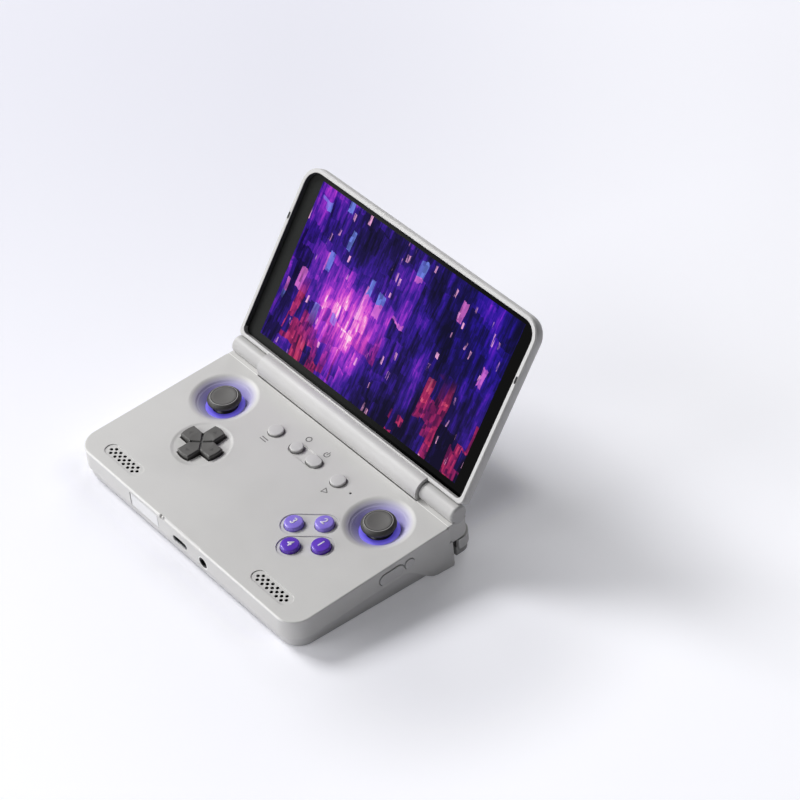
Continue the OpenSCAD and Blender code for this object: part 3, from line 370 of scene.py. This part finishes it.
class Pattern(NodeTree):
    """A shape that repeats, made by Geometry Nodes from named inputs."""

    def __init__(self, name, **kinds):
        super().__init__(bpy.data.node_groups.new(name, "GeometryNodeTree"))
        sockets = self.tree.interface
        for label, kind in kinds.items():
            sockets.new_socket(label, in_out="INPUT", socket_type="NodeSocket" + kind)
        sockets.new_socket("Geometry", in_out="OUTPUT", socket_type="NodeSocketGeometry")
        self.given = self.add("NodeGroupInput").outputs

    def value(self, label):
        return Value(self, self.given[label])

    def vector(self, x, y, z):
        return self.add("ShaderNodeCombineXYZ", {}, {0: x, 1: y, 2: z}).outputs[0]

    def chance(self, kind, inputs):
        inputs["Seed"] = self.given["Seed"]
        node = self.add("FunctionNodeRandomValue", {"data_type": kind}, inputs)
        return Value(self, node.outputs["Value"])

    def piece(self, shape, finish, place, **values):
        """End the tree, run it once on its values and keep a plain mesh, put in its place."""
        real = self.add("GeometryNodeRealizeInstances", {}, {0: shape})
        inputs = {"Geometry": real.outputs[0], "Material": finish.material}
        coat = self.add("GeometryNodeSetMaterial", {}, inputs)
        self.add("NodeGroupOutput", {}, {0: coat.outputs[0]})
        name = self.tree.name
        holder = in_scene(name + "_holder", bpy.data.meshes.new(name + "_holder"))
        modifier = holder.modifiers.new("made", "NODES")
        modifier.node_group = self.tree
        for item in self.tree.interface.items_tree:
            if item.name in values:
                modifier[item.identifier] = values[item.name]
        holder.update_tag()
        mesh = plain_mesh(holder, name)
        mesh.transform(place)
        mesh.update()
        return in_scene(name, mesh)


def scattered_parts(name, corner, size, spacing, height, seed, finish):
    """Small soldered parts over a patch of the board: a grid of blocks, some left out."""
    patch = Pattern(
        name, Width="Float", Depth="Float", Spacing="Float", Height="Float", Seed="Int"
    )
    spaces = patch.value("Spacing")
    grid = patch.add("GeometryNodeMeshGrid", {}, {
        "Size X": patch.given["Width"],
        "Size Y": patch.given["Depth"],
        "Vertices X": patch.value("Width") / spaces,
        "Vertices Y": patch.value("Depth") / spaces,
    })
    sides = [spaces * share for share in PART_SHARES]
    block = patch.add("GeometryNodeMeshCube", {}, {"Size": patch.vector(*sides, patch.value("Height"))})
    turn = patch.chance("INT", {"Min": 0, "Max": 1}) * (math.pi / 2)
    spread = patch.add("GeometryNodeInstanceOnPoints", {}, {
        "Points": grid.outputs["Mesh"],
        "Selection": patch.chance("BOOLEAN", {"Probability": PART_CHANCE}),
        "Instance": block.outputs["Mesh"],
        "Rotation": patch.vector(0.0, 0.0, turn),
    })
    width, depth = size
    middle = (corner[0] + width / 2, corner[1] + depth / 2, BOARD_TOP + height / 2 - SOLDER)
    return patch.piece(
        spread.outputs[0], finish, DECK @ Matrix.Translation(middle),
        Width=width, Depth=depth, Spacing=spacing, Height=height, Seed=seed,
    )


dress(board_mask(), "main_board")
chip_black = moulded("chip_resin", paint("1d1d20"), paint("2a2a2e"), 0.6, 5200.0)
part_tan = moulded("part_ceramic", paint("8f7355"), paint("6e563e"), 0.45, 5200.0)
for label, corner, size, spacing, height, seed, finish in (
    ("board_capacitors", (-0.016, 0.012), (0.034, 0.018), 0.0022, 0.0007, 3, part_tan),
    ("board_chips", (-0.012, 0.034), (0.028, 0.018), 0.0075, 0.0011, 8, chip_black),
    ("board_resistors", (-0.056, 0.0225), (0.030, 0.0055), 0.0018, 0.0005, 5, chip_black),
):
    parts = scattered_parts(label, corner, size, spacing, height, seed, finish)
    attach(parts, "base")

# Battery.
# A flat lithium cell wrapped in dark shrink film, which wrinkles a little at its folds.


def shrink_film():
    finish = Finish("battery_film")
    here = finish.place()
    folds = finish.noise(finish.stretched(here, (1, 0.25, 1)), 240.0, 3.0)
    finish.wear(
        Base_Color=finish.mix(folds, paint("1f1f24"), paint("35353d")),
        Roughness=0.22 + folds * 0.25,
        Coat_Weight=0.5,
    )
    finish.relief(folds, 0.00012, 0.0006)
    return finish


dress(shrink_film(), "battery")

# Heat sink, fan, stick modules, bracket and carrier of the direction pad.
# Copper fins soldered to a plate; the others are moulded in dark glass-filled plastic and
# screwed or clipped to the board and the shells.
fin_copper = turned("fin_copper", paint("b9704a"), paint("8f4f31"), 0.3, (0.2, 1, 0.2))
dress(fin_copper, "heat_sink")
dark_plastic = moulded("dark_plastic", paint("2a2a2c"), paint("353538"), 0.5, 6000.0, 0.00001)
dress(dark_plastic, "fan_housing", "fan_rotor", "dpad_bracket", "dpad_carrier")
dress(dark_plastic, "stick_module_left", "stick_module_right")

# Loudspeakers.
# Dark moulded frames; a fine cloth under the grille keeps the dust out.


def speaker_cloth():
    finish = Finish("speaker_cloth")
    inputs = {"Vector": finish.place(SEAT, WEDGE), "Scale": 900.0}
    warp, weft = (
        Value(finish, finish.add("ShaderNodeTexWave", {"bands_direction": way}, inputs).outputs[1])
        for way in "XY"
    )
    thread = warp.most(weft)
    cloth = finish.mix(thread, paint("060607"), paint("1b1b1d"))
    finish.wear(Base_Color=cloth, Roughness=0.8 - thread * 0.15)
    finish.relief(thread, 0.00005)
    return finish


dress(speaker_cloth(), "speakers")

# Charging port, earphone socket and card reader.
# Drawn steel shells soldered to the board, and a socket moulded in black; the tongue of the
# charging port carries gilt contacts above and below.
CONTACTS = 12
CONTACT_PITCH = 0.0005
CONTACT_SIZE = (0.00026, 0.0046, 0.00006)
TONGUE = (-0.001, 0.0048, -0.0064)
TONGUE_HALF = 0.00036
port_steel = turned("port_steel", paint("a7a8ab"), paint("7f8084"), 0.32, (0.15, 1, 1), 1800.0)
dress(port_steel, "usb_port", "card_reader")
dress(moulded("jack_resin", paint("1a1a1c"), paint("26262a"), 0.4, 5200.0), "audio_jack")
gilt = turned("contact_gilt", paint("d9b45f"), paint("b78f3d"), 0.25, (1, 0.1, 1), 2000.0)


def contact_row(name, start):
    """A row of contact strips: one block on each point of a line."""
    row = Pattern(name, Count="Int", Pitch="Vector", Size="Vector")
    line_inputs = {"Count": row.given["Count"], "Offset": row.given["Pitch"]}
    line = row.add("GeometryNodeMeshLine", {}, line_inputs)
    block = row.add("GeometryNodeMeshCube", {}, {"Size": row.given["Size"]})
    inputs = {"Points": line.outputs[0], "Instance": block.outputs["Mesh"]}
    spread = row.add("GeometryNodeInstanceOnPoints", {}, inputs)
    return row.piece(
        spread.outputs[0], gilt, DECK @ Matrix.Translation(start),
        Count=CONTACTS, Pitch=(CONTACT_PITCH, 0, 0), Size=CONTACT_SIZE,
    )


for label, side in (("port_contacts_over", 1), ("port_contacts_under", -1)):
    first = TONGUE[0] - (CONTACTS - 1) / 2 * CONTACT_PITCH
    strips = contact_row(label, (first, TONGUE[1], TONGUE[2] + side * TONGUE_HALF))
    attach(strips, "base")

# Card cover.
# A small hinged door of a whiter plastic, flush in the front wall and greyer along its edges.
FLAP_EDGE_DARK = (0.00015, 0.0004)


def flap_plastic():
    finish = moulded("flap_plastic", paint("e9e9ea"), paint("e1e1e2"), 0.42)
    x, _, z = finish.split(finish.place())
    low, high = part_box("card_flap")
    border = (x - low[0]).least(high[0] - x).least((z - low[2]).least(high[2] - z))
    # Greyer within a fraction of a millimetre of the door's edges.
    edge_darkening = (1 - border.fade(*FLAP_EDGE_DARK)) * 0.6
    finish.wear(Base_Color=finish.mix(edge_darkening, finish.worn("Base Color"), paint("8f8f92")))
    return finish


dress(flap_plastic(), "card_flap")

# Strap bar, shoulder pins, gimbal rings, rumble motor, magnets and screws.
# Plated steel, nickel plated magnets and blackened screws, pressed, clipped or screwed in.
plated_steel = turned("plated_steel", paint("b2b3b6"), paint("8d8e92"), 0.3, (0.4, 0.4, 1.6))
magnet_nickel = turned("magnet_nickel", paint("c4c5c8"), paint("a6a7ab"), 0.18, (1, 1, 1))
screw_steel = turned("screw_black_steel", paint("2c2c2f"), paint("17171a"), 0.38, (1, 1, 1))
dress(plated_steel, "strap_bar", "trigger_pins", "rumble_motor")
dress(plated_steel, "stick_yoke_left", "stick_yoke_right")
dress(magnet_nickel, "base_magnets", "lid_magnets")
dress(screw_steel, "case_screws")

# Springs of the shoulder keys.
# Round steel wire, close wound round each pin; the two replace plain collars.
PIN = (0.0505, 0.0835, -0.0098)
COIL_TURNS = 2.4
COIL_HEIGHT = 0.00045
COIL_R = 0.00142
COIL_WIRE = 0.00014


def coil(name, x):
    """A wound spring on the pin at x."""
    winding = Pattern(name, Turns="Float", Height="Float", Radius="Float", Wire="Float")
    given = winding.given
    spiral = winding.add("GeometryNodeCurveSpiral", {}, {
        "Resolution": 20,
        "Rotations": given["Turns"],
        "Start Radius": given["Radius"],
        "End Radius": given["Radius"],
        "Height": given["Height"],
    })
    ring_inputs = {"Resolution": 8, "Radius": given["Wire"]}
    ring = winding.add("GeometryNodeCurvePrimitiveCircle", {}, ring_inputs)
    inputs = {"Curve": spiral.outputs[0], "Profile Curve": ring.outputs[0], "Fill Caps": True}
    tube = winding.add("GeometryNodeCurveToMesh", {}, inputs)
    return winding.piece(
        tube.outputs[0], plated_steel, DECK @ Matrix.Translation((x, PIN[1], PIN[2])),
        Turns=COIL_TURNS, Height=COIL_HEIGHT, Radius=COIL_R, Wire=COIL_WIRE,
    )


for name, side in (("spring_left", -1), ("spring_right", 1)):
    spring = coil(name, side * PIN[0])
    if side < 0:
        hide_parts("trigger_springs")
    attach(spring, "base")

# Rubber feet and the two bumpers of the lid.
# Soft black rubber, moulded and stuck in shallow seats in the lower shell and the rim.


def rubber(name, colour, shade, roughness=0.75):
    finish = Finish(name)
    here = finish.place()
    skin = finish.noise(here, 4200.0, 3.0, 0.65)
    smear = finish.noise(here, 120.0, 2.0)
    finish.wear(
        Base_Color=finish.mix(smear * 0.5 + skin * 0.4, colour, shade),
        Roughness=roughness + (skin - 0.5) * 0.2,
    )
    finish.relief(skin, 0.00001, 0.0003)
    return finish


dress(rubber("foot_rubber", paint("1b1b1c"), paint("2b2b2c")), "rubber_feet", "lid_bumpers")

# Light rings.
# Frosted rings clipped in under the sticks and lit violet from below by small lamps.
RING_IN = 0.0056
RING_OUT = 0.0078


def lamp_ring():
    finish = Finish("ring_frosted")
    flat = finish.place(SEAT, WEDGE)
    x, y = finish.split(flat)[:2]
    far = finish.length(abs(x) - STICK[0], y - STICK[1]).fade(RING_IN, RING_OUT)
    cloud = finish.noise(flat, 420.0, 2.0)
    glow = finish.mix(far, paint("4238a8"), paint("6a5fd2"))
    finish.wear(
        Base_Color=finish.mix(far, paint("4a3fb8"), paint("6f63d6")),
        Emission_Color=finish.mix(cloud * 0.15, glow, paint("9a92ea")),
        Emission_Strength=0.55,
        Roughness=0.35 + cloud * 0.1,
    )
    finish.relief(cloud, 0.00001, 0.0002)
    return finish


dress(lamp_ring(), "light_ring_left", "light_ring_right")

# Thumb sticks.
# The stem is hard black plastic, the cap on it a soft grey rubber with a dished top; a painted
# highlight runs round its raised rim and painted shade lies in the groove inside the rim.
CAP_TOP = (0.0, 0.0004)
CAP_DISH = (0.0050, 0.0054)
CAP_GROOVE = 0.00535
CAP_GROOVE_HALF = (0.0001, 0.00022)
CAP_LIP = 0.00562
CAP_LIP_HALF = (0.00008, 0.0002)


def cap_rubber():
    finish = Finish("cap_rubber")
    flat = finish.place(SEAT, WEDGE)
    x, y, z = finish.split(flat)
    reach = finish.length(abs(x) - STICK[0], y - STICK[1])
    skin = finish.noise(flat, 5200.0, 3.0, 0.65)
    smear = finish.noise(flat, 160.0, 2.0)
    top = z.fade(*CAP_TOP)
    dish = (1 - reach.fade(*CAP_DISH)) * top
    # Painted shade in the groove round the dished top, which is also pressed in.
    groove = (1 - abs(reach - CAP_GROOVE).fade(*CAP_GROOVE_HALF)) * top
    # A painted highlight round the raised rim of the dished top.
    lip = (1 - abs(reach - CAP_LIP).fade(*CAP_LIP_HALF)) * top
    tone = finish.mix(dish, paint("403f3e"), paint("6b6a68"))
    tone = finish.mix(smear * 0.3, tone, paint("33322f"))
    tone = finish.mix(groove, tone, paint("1d1d1d"))
    finish.wear(
        Base_Color=finish.mix(lip * 0.8, tone, paint("b4b3b1")),
        Roughness=0.5 + dish * 0.1 + (skin - 0.5) * 0.15,
    )
    finish.relief(skin * 0.15 - groove, 0.0001, 0.0004)
    return finish


dress(cap_rubber(), "stick_cap_left", "stick_cap_right")
stem_plastic = moulded("stem_plastic", paint("161617"), paint("202022"), 0.35, 6000.0)
dress(stem_plastic, "stick_stem_left", "stick_stem_right")

# Direction pad.
# A cross of dark grey plastic on a rocking carrier; its four arms are worn at their ends and
# have an arrow pressed faintly into each. Painted shade darkens their sides and the slots
# between them.
ARROW = (0.0064, 0.0078)
SLOT = (0.0007, 0.0034)
ARM_WEAR = (0.005, 0.0095)
ARM_SIDE = (0.0004, 0.0009)
ARM_TOP = (0.0008, 0.0010)


def pad_plastic():
    finish = Finish("pad_plastic")
    flat = finish.place(SEAT, WEDGE)
    x, y, z = finish.split(flat)
    across = abs(x - PAD[0])
    along = abs(y - PAD[1])
    far = across.most(along)
    near = across.least(along)
    arrow = (near < (ARROW[1] - far) * 0.8) * (far > ARROW[0]) * z.fade(*ARM_TOP)
    pits = finish.noise(flat, 7000.0, 2.0, 0.6)
    worn = far.fade(*ARM_WEAR)
    slot = (abs(across - along) < SLOT[0]) * (far < SLOT[1])
    tone = finish.mix(worn * 0.4, paint("605f5d"), paint("6c6b69"))
    # Painted shade on the sides of the arms, below their tops.
    tone = finish.mix(z.fade(*ARM_SIDE), paint("3b3a39"), tone)
    tone = finish.mix(pits * 0.3, tone, paint("454443"))
    # Painted shade in the slots between the arms.
    tone = finish.mix(slot * 0.85, tone, paint("232322"))
    finish.wear(
        Base_Color=finish.mix(arrow * 0.6, tone, paint("434241")),
        Roughness=0.48 - worn * 0.08 + (pits - 0.5) * 0.1,
    )
    finish.relief(pits * 0.1 - arrow, 0.00006, 0.0004)
    return finish


dress(pad_plastic(), "dpad")

# Action buttons.
# Domed and glossy, moulded in two violets; each carries a plain numeral moulded through in
# white.
FACE = (0.0356, 0.0346)
SPREAD = 0.0084
FACE_TOP = 0.0017
DOME_R = 0.024
NUMERAL_SIZE = 0.0044
NUMERAL_HALF = 0.00004
NUMERAL_SWELL = 0.00009
NUMERAL_LIFT = 0.00005


def glossy(name, colour, shade, roughness=0.24):
    finish = Finish(name)
    here = finish.place()
    drift = finish.noise(here, 300.0, 2.0)
    pits = finish.noise(here, 6500.0, 2.0)
    finish.wear(
        Base_Color=finish.mix(drift.fade(0.3, 0.7), colour, shade),
        Roughness=roughness + (drift - 0.5) * 0.08,
        Coat_Weight=0.35,
    )
    finish.relief(pits, 0.000002, 0.0005)
    return finish


pale_violet = glossy("button_pale_violet", paint("9a87ea"), paint("8d79e0"))
deep_violet = glossy("button_deep_violet", paint("6b40cc"), paint("6038be"))
dress(pale_violet, "face_button_left", "face_button_rear")
dress(deep_violet, "face_button_front", "face_button_right")
numeral_white = glossy("numeral_white", paint("f4f2fb"), paint("e9e6f7"), 0.3)


def numeral(text, x, y):
    """A flat numeral bent over the dome of its button, a hair proud of it."""
    name = "numeral_" + text
    curve = bpy.data.curves.new(name, "FONT")
    curve.body = text
    curve.size = NUMERAL_SIZE
    curve.align_x = "CENTER"
    curve.align_y = "CENTER"
    curve.extrude = NUMERAL_HALF
    curve.offset = NUMERAL_SWELL
    mesh = plain_mesh(in_scene(name + "_holder", curve), name)
    for v in mesh.vertices:
        sag = DOME_R - math.sqrt(DOME_R ** 2 - v.co.x ** 2 - v.co.y ** 2)
        v.co = DECK @ (v.co + Vector((x, y, FACE_TOP - sag + NUMERAL_LIFT)))
    mesh.materials.clear()
    mesh.materials.append(numeral_white.material)
    return in_scene(name, mesh)


for text, step, body, look in (
    ("1", (1, 0), "face_button_right", "violet_deep"),
    ("2", (0, 1), "face_button_rear", "violet_pale"),
    ("3", (-1, 0), "face_button_left", "violet_pale"),
    ("4", (0, -1), "face_button_front", "violet_deep"),
):
    mark = numeral(text, FACE[0] + step[0] * SPREAD, FACE[1] + step[1] * SPREAD)
    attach(mark, body + "_body")

# Menu keys, volume rocker and the round side key.
# Pale satin plastic, a little smoother than the shell round them; the sides of the menu keys
# lie in the shade of their holes.
KEY_TOP = 0.0013


def satin(name, colour, shade):
    return moulded(name, colour, shade, 0.4, 8000.0, 0.000004, 0.0004)


def menu_plastic():
    finish = satin("key_plastic", paint("d2d1d0"), paint("c8c7c6"))
    height = finish.split(finish.place(SEAT, WEDGE))[2]
    side = 1 - height.fade(KEY_TOP * 0.3, KEY_TOP * 0.75)
    finish.wear(Base_Color=finish.mix(side * 0.75, finish.worn("Base Color"), paint("7c7b7a")))
    return finish


side_plastic = satin("side_key_plastic", paint("cdcccb"), paint("c3c2c1"))
dress(menu_plastic(), "select_key", "home_key", "power_key", "start_key")
dress(side_plastic, "volume_rocker", "side_key")

# Marks beside the menu keys.
# Plain signs printed in dark ink: two bars, a ring, a broken ring with a stroke, and a wedge.
MARK_LIFT = 0.00002
MARK_LINE = 0.00042
MARK_R = 0.0012
BAR_HALF = 0.0018
BAR_LINE = 0.00045
BAR_STEP = 0.0006
START_HALF = 0.0013
START_LONG = 0.0023
SELECT_MARK = (-0.0185, 0.0552)
HOME_MARK = (-0.0058, 0.0679)
POWER_MARK = (0.0061, 0.0675)
START_MARK = (0.0204, 0.0544)


def print_line(ink, middle, points, width=MARK_LINE):
    """A flat printed line on the deck through points given from the middle of its mark."""
    corners = [Vector(middle) + Vector(point) for point in points]
    for first, second in zip(corners, corners[1:]):
        along = (second - first).normalized() * width / 2
        side = Vector((-along.y, along.x))
        past = along * 0.4
        ends = (first - past + side, first - past - side, second + past - side, second + past + side)
        ink.faces.new([ink.verts.new(DECK @ Vector((*end, MARK_LIFT))) for end in ends])


def arc(start, end, steps):
    turns = [math.radians(start + (end - start) * i / steps) for i in range(steps + 1)]
    return [(MARK_R * math.cos(turn), MARK_R * math.sin(turn)) for turn in turns]


ink = bmesh.new()
for y in (-BAR_STEP, BAR_STEP):
    print_line(ink, SELECT_MARK, [(-BAR_HALF, y), (BAR_HALF, y)], BAR_LINE)
print_line(ink, HOME_MARK, arc(0, 360, 28))
print_line(ink, POWER_MARK, arc(125, 415, 22))
print_line(ink, POWER_MARK, [(0, -0.0001), (0, MARK_R * 1.5)])
foot, head = (0, -START_HALF), (0, START_HALF)
print_line(ink, START_MARK, [head, foot, (START_LONG, 0), head])
mark_mesh = bpy.data.meshes.new("menu_marks")
ink.to_mesh(mark_mesh)
ink.free()
mark_mesh.materials.append(rubber("mark_ink", paint("6f6e6c"), paint("828180"), 0.6).material)
marks = in_scene("menu_marks", mark_mesh)
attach(marks, "base")

# Rubber domes and the status light.
# A silicone sheet with a dome under each key; the light is a dark clear pin in the shell.
dress(rubber("dome_silicone", paint("b5b6ba"), paint("9c9da2"), 0.6), "button_membranes")
dress(glossy("lens_smoke", paint("1c1c1f"), paint("2a2a2e"), 0.15), "status_lens")

# Shoulder keys and triggers.
# Shell plastic above; the triggers turn on the same pins, their darker grey painted shade from
# the shoulder keys above.
shoulder_plastic = moulded("shoulder_plastic", paint("cbcac8"), paint("c1c0be"), 0.44)
trigger_plastic = moulded("trigger_plastic", paint("9d9c9b"), paint("929190"), 0.44)
dress(shoulder_plastic, "shoulder_left", "shoulder_right")
dress(trigger_plastic, "trigger_left", "trigger_right")

# Lid back, barrel and front rim.
# Two mouldings that close on each other round the display; the barrel is part of the hinge
# line. The rim is a touch lighter.
lid_plastic = moulded("lid_plastic", paint("cac9c8"), paint("c1c0bf"), 0.45)
rim_plastic = moulded("rim_plastic", paint("d0cfce"), paint("c7c6c5"), 0.42)
dress(lid_plastic, "lid_back_cover", "lid_barrel")
dress(rim_plastic, "lid_front_frame")

# Liner inside the rim.
# A strip round three sides of the glass; its dark grey is painted shade on the rim's inner wall.
dress(rubber("liner_film", paint("3b3d3e"), paint("2e3031"), 0.6), "screen_gasket")

# Cover glass with the lit display behind it.
# Toughened glass with a black printed border, glued to the display; through its clear window
# shows an abstract picture of streaks of light crossed by upright panels.
HINGE = (0.0, 0.018707, 0.024497)
LEAN = math.radians(59.95)
WINDOW_HALF = 0.0609
WINDOW_FOOT = 0.0092
WINDOW_HEAD = 0.0776
GLOW = (-0.02, 0.036)
GLOW_REACH = (0.002, 0.036)
BIG_PANEL = (0.0085, 0.021)
MIDDLING_PANEL = (0.0036, 0.0085)
FINE_PANEL = (0.0011, 0.0028)
LIGHT_STOPS = (
    (0.0, "0b0626"), (0.22, "1b0f4e"), (0.4, "33188a"), (0.54, "5a22a6"),
    (0.68, "9030c4"), (0.82, "cf4ad0"), (0.94, "f58ad8"), (1.0, "ffd9f0"),
)
EMBER_STOPS = (
    (0.0, "2c0a38"), (0.25, "6b1450"), (0.5, "b3265f"), (0.75, "ee4f74"), (1.0, "ffa88c"),
)


def panels(finish, x, rise, size, seed):
    """Three chance numbers for each upright oblong; every column is shifted by its own amount."""

    def chance(column, row):
        inputs = {0: column, 1: row, 2: seed}
        place = finish.add("ShaderNodeCombineXYZ", {}, inputs).outputs[0]
        noise = finish.add("ShaderNodeTexWhiteNoise", {}, {"Vector": place})
        return finish.split(noise.outputs["Color"])

    wide, tall = size
    column = math.floor(x / wide)
    row = math.floor(rise / tall + chance(column, 0.0)[0] * 7)
    return chance(column, row)


def picture(finish, flat, ripple):
    """The picture's colours: drawn and cut light, then embers, small signs and sparks."""
    x, rise = finish.split(flat)[:2]
    up = (rise - WINDOW_FOOT) / (WINDOW_HEAD - WINDOW_FOOT)
    streak = finish.noise(finish.stretched(flat, (1.0, 0.1, 1.0)), 420.0, 5.0, 0.75)
    curtain = finish.noise(finish.stretched(flat, (1.0, 0.45, 1.0)), 45.0, 3.0, 0.6)
    brushed = x + (curtain - 0.5) * 0.008 + (streak - 0.5) * 0.0012
    risen = rise + (ripple - 0.5) * 0.01 + (streak - 0.5) * 0.003 + x * 0.12
    big = panels(finish, brushed, risen, BIG_PANEL, 3.0)
    middling = panels(finish, brushed, risen, MIDDLING_PANEL, 5.0)
    fine = panels(finish, brushed, risen, FINE_PANEL, 8.0)
    glow = 1 - finish.length((x - GLOW[0]) * 1.1, (rise - GLOW[1]) * 1.1).fade(*GLOW_REACH)
    drawn = (streak - 0.5) * 1.05 + (curtain - 0.5) * 1.1
    cut = (big[0] - 0.5) * 0.3 + (middling[0] - 0.5) * 0.2 + (fine[0] - 0.5) * 0.12
    rightward = x.fade(-0.01, 0.05)
    broad = up.fade(0.0, 0.25) * 0.14 + (1 - rightward) * 0.12
    tone = finish.ramp(drawn + cut + glow * 0.42 + broad + 0.1, LIGHT_STOPS)
    blue = rightward * up.fade(0.2, 0.75)
    tone = finish.mix(blue * 0.55, tone, paint("3a3fd0"), "SOFT_LIGHT")
    ember = (big[1] > 0.55) * (1 - up.fade(0.3, 0.5)) * (1 - glow * 0.9) * (middling[1] > 0.3)
    warmth = fine[0] * 0.4 + middling[2] * 0.35 + (streak - 0.5) * 0.9
    tone = finish.mix(ember * 0.75, tone, finish.ramp(warmth, EMBER_STOPS))
    sign = finish.mix(big[2] > 0.5, paint("7a90f5"), paint("e878dc"))
    signs = (middling[1] > 0.92) * (big[1] > 0.4) * up.fade(0.2, 0.4)
    tone = finish.mix(signs * (0.3 + fine[0] * 0.5), tone, sign)
    sparks = (fine[1] > 0.975) * streak.fade(0.45, 0.6)
    return finish.mix(sparks * 0.85, tone, paint("ffb6e6"))


def lit_glass(name, roughness, strength):
    finish = Finish(name)
    flat = finish.place(HINGE, LEAN)
    x, rise = finish.split(flat)[:2]
    over = abs(rise - (WINDOW_FOOT + WINDOW_HEAD) / 2) < (WINDOW_HEAD - WINDOW_FOOT) / 2
    inside = (abs(x) < WINDOW_HALF) * over
    # Painted reflection: the black border is lifted to dark grey towards the left.
    border = finish.mix(x.fade(-0.06, 0.05), paint("2d2e2d"), paint("040404"))
    ripple = finish.noise(flat, 60.0, 3.0, 0.6)
    finish.wear(
        Base_Color=finish.mix(inside, border, (0, 0, 0, 1)),
        Roughness=roughness + (ripple - 0.5) * 0.02,
        Specular_IOR_Level=0.012,
        Emission_Color=finish.mix(inside, (0, 0, 0, 1), picture(finish, flat, ripple)),
        Emission_Strength=strength,
    )
    return finish


dress(lit_glass("display_glass", 0.07, 1.0), "cover_glass")
dress(lit_glass("display_cell", 0.3, 0.6), "display_panel")

# Display cable.
# A round bundle of amber film conductors, led through the hollow hinge.
dress(glossy("cable_film", paint("a8742c"), paint("8c5d1f"), 0.35), "display_flex")

# Floor, light and camera.
# A pale seamless sheet, a wide soft lamp on the left with weaker ones in front and behind,
# and the camera where the photograph was taken.
FLOOR_HALF = 6.0
SHADOW = (0.11, -0.01)
SHADOW_REACH = (0.012, 0.066)
FOOTPRINT_HALF = (0.066, 0.058)
CONTACT_REACH = 0.022
LIT_SIDE = (0.045, 0.068)
LAMP_DISTANCE = 4.0


def studio_sheet():
    """A pale sheet lifted to near white for the camera, with painted shadow under and beside the
    console.
    """
    finish = Finish("studio_sheet")
    flat = finish.place()
    x, y = finish.split(flat)[:2]
    rays = finish.add("ShaderNodeLightPath").outputs
    seen = Value(finish, rays["Is Camera Ray"])
    for ray in ("Is Glossy Ray", "Is Transmission Ray"):
        seen = seen.most(Value(finish, rays[ray]))
    nearer = (x - y).fade(-0.5, 0.35) + (x * 0.63 + y * 0.77).fade(-0.04, 0.2) * 0.6
    lift = finish.mix(nearer, (0.0, 0.0, 0.03, 1), (0.25, 0.25, 0.255, 1))
    # Painted shadow right of the console and painted contact shadow round its foot.
    shadow = 1 - finish.length(x - SHADOW[0], (y - SHADOW[1]) * 0.75).fade(*SHADOW_REACH)
    past_x = (abs(x) - FOOTPRINT_HALF[0]).most(0.0)
    past_y = (abs(y) - FOOTPRINT_HALF[1]).most(0.0)
    contact_shadow = 1 - finish.length(past_x, past_y).fade(0.0, CONTACT_REACH)
    contact_shadow = contact_shadow * (1 - x.fade(*LIT_SIDE) * 0.85)
    lift = finish.mix((shadow * 0.75).most(contact_shadow), lift, (0.0, 0.0, 0.0, 1))
    cloud = finish.noise(flat, 3.0, 2.0)
    finish.wear(
        Base_Color=finish.mix(cloud * 0.2, paint("efeff5"), paint("ededf3")),
        Emission_Color=finish.mix(seen, (0, 0, 0, 1), lift),
        Emission_Strength=1.0,
        Roughness=0.85,
    )
    return finish


floor_mesh = bpy.data.meshes.new("floor")
corners = [(x * FLOOR_HALF, y * FLOOR_HALF, 0) for x, y in ((-1, -1), (1, -1), (1, 1), (-1, 1))]
floor_mesh.from_pydata(corners, [], [(0, 1, 2, 3)])
floor_mesh.materials.append(studio_sheet().material)
floor = in_scene("floor", floor_mesh)

world = bpy.data.worlds.new("studio")
bpy.context.scene.world = world
world.use_nodes = True
sky = world.node_tree.nodes["Background"]
sky.inputs["Color"].default_value = (0.96, 0.97, 1.0, 1.0)
sky.inputs["Strength"].default_value = 0.125


def lamp(name, direction, size, watts):
    """A square lamp that shines at the middle of the row."""
    data = bpy.data.lights.new(name, "AREA")
    data.shape = "SQUARE"
    data.size = size
    data.energy = watts
    aim = Vector(direction).normalized()
    turn = aim.to_track_quat("Z", "Y").to_matrix().to_4x4()
    in_scene(name, data).matrix_world = Matrix.Translation(aim * LAMP_DISTANCE) @ turn


lamp("left_lamp", (-0.76, -0.24, 0.70), 1.5, 126.0)
lamp("front_lamp", (-0.38, -0.86, 0.38), 2.6, 82.0)
lamp("rear_lamp", (-0.50, 0.80, 0.45), 2.0, 34.0)

AZIMUTH = math.radians(50.7536)
ELEVATION = math.radians(39.0105)
ROLL = math.radians(-0.2579)
CAMERA_PLACE = (0.6784511, -0.5073811, 0.7326225)
FOCAL_LENGTH = 127.1456
level = Vector((math.cos(AZIMUTH), math.sin(AZIMUTH), 0))
away = Vector((math.sin(AZIMUTH), -math.cos(AZIMUTH), 0))
back = away * math.cos(ELEVATION) + Vector((0, 0, math.sin(ELEVATION)))
right = level * math.cos(ROLL) + back.cross(level) * math.sin(ROLL)
turn = Matrix((right, back.cross(right), back)).transposed().to_4x4()
lens = bpy.data.cameras.new("camera")
lens.sensor_width = 36.0
lens.lens = FOCAL_LENGTH
lens.clip_end = 20.0
camera = in_scene("camera", lens)
camera.matrix_world = Matrix.Translation(CAMERA_PLACE) @ turn
bpy.context.scene.camera = camera
bpy.context.scene.view_settings.view_transform = "Standard"
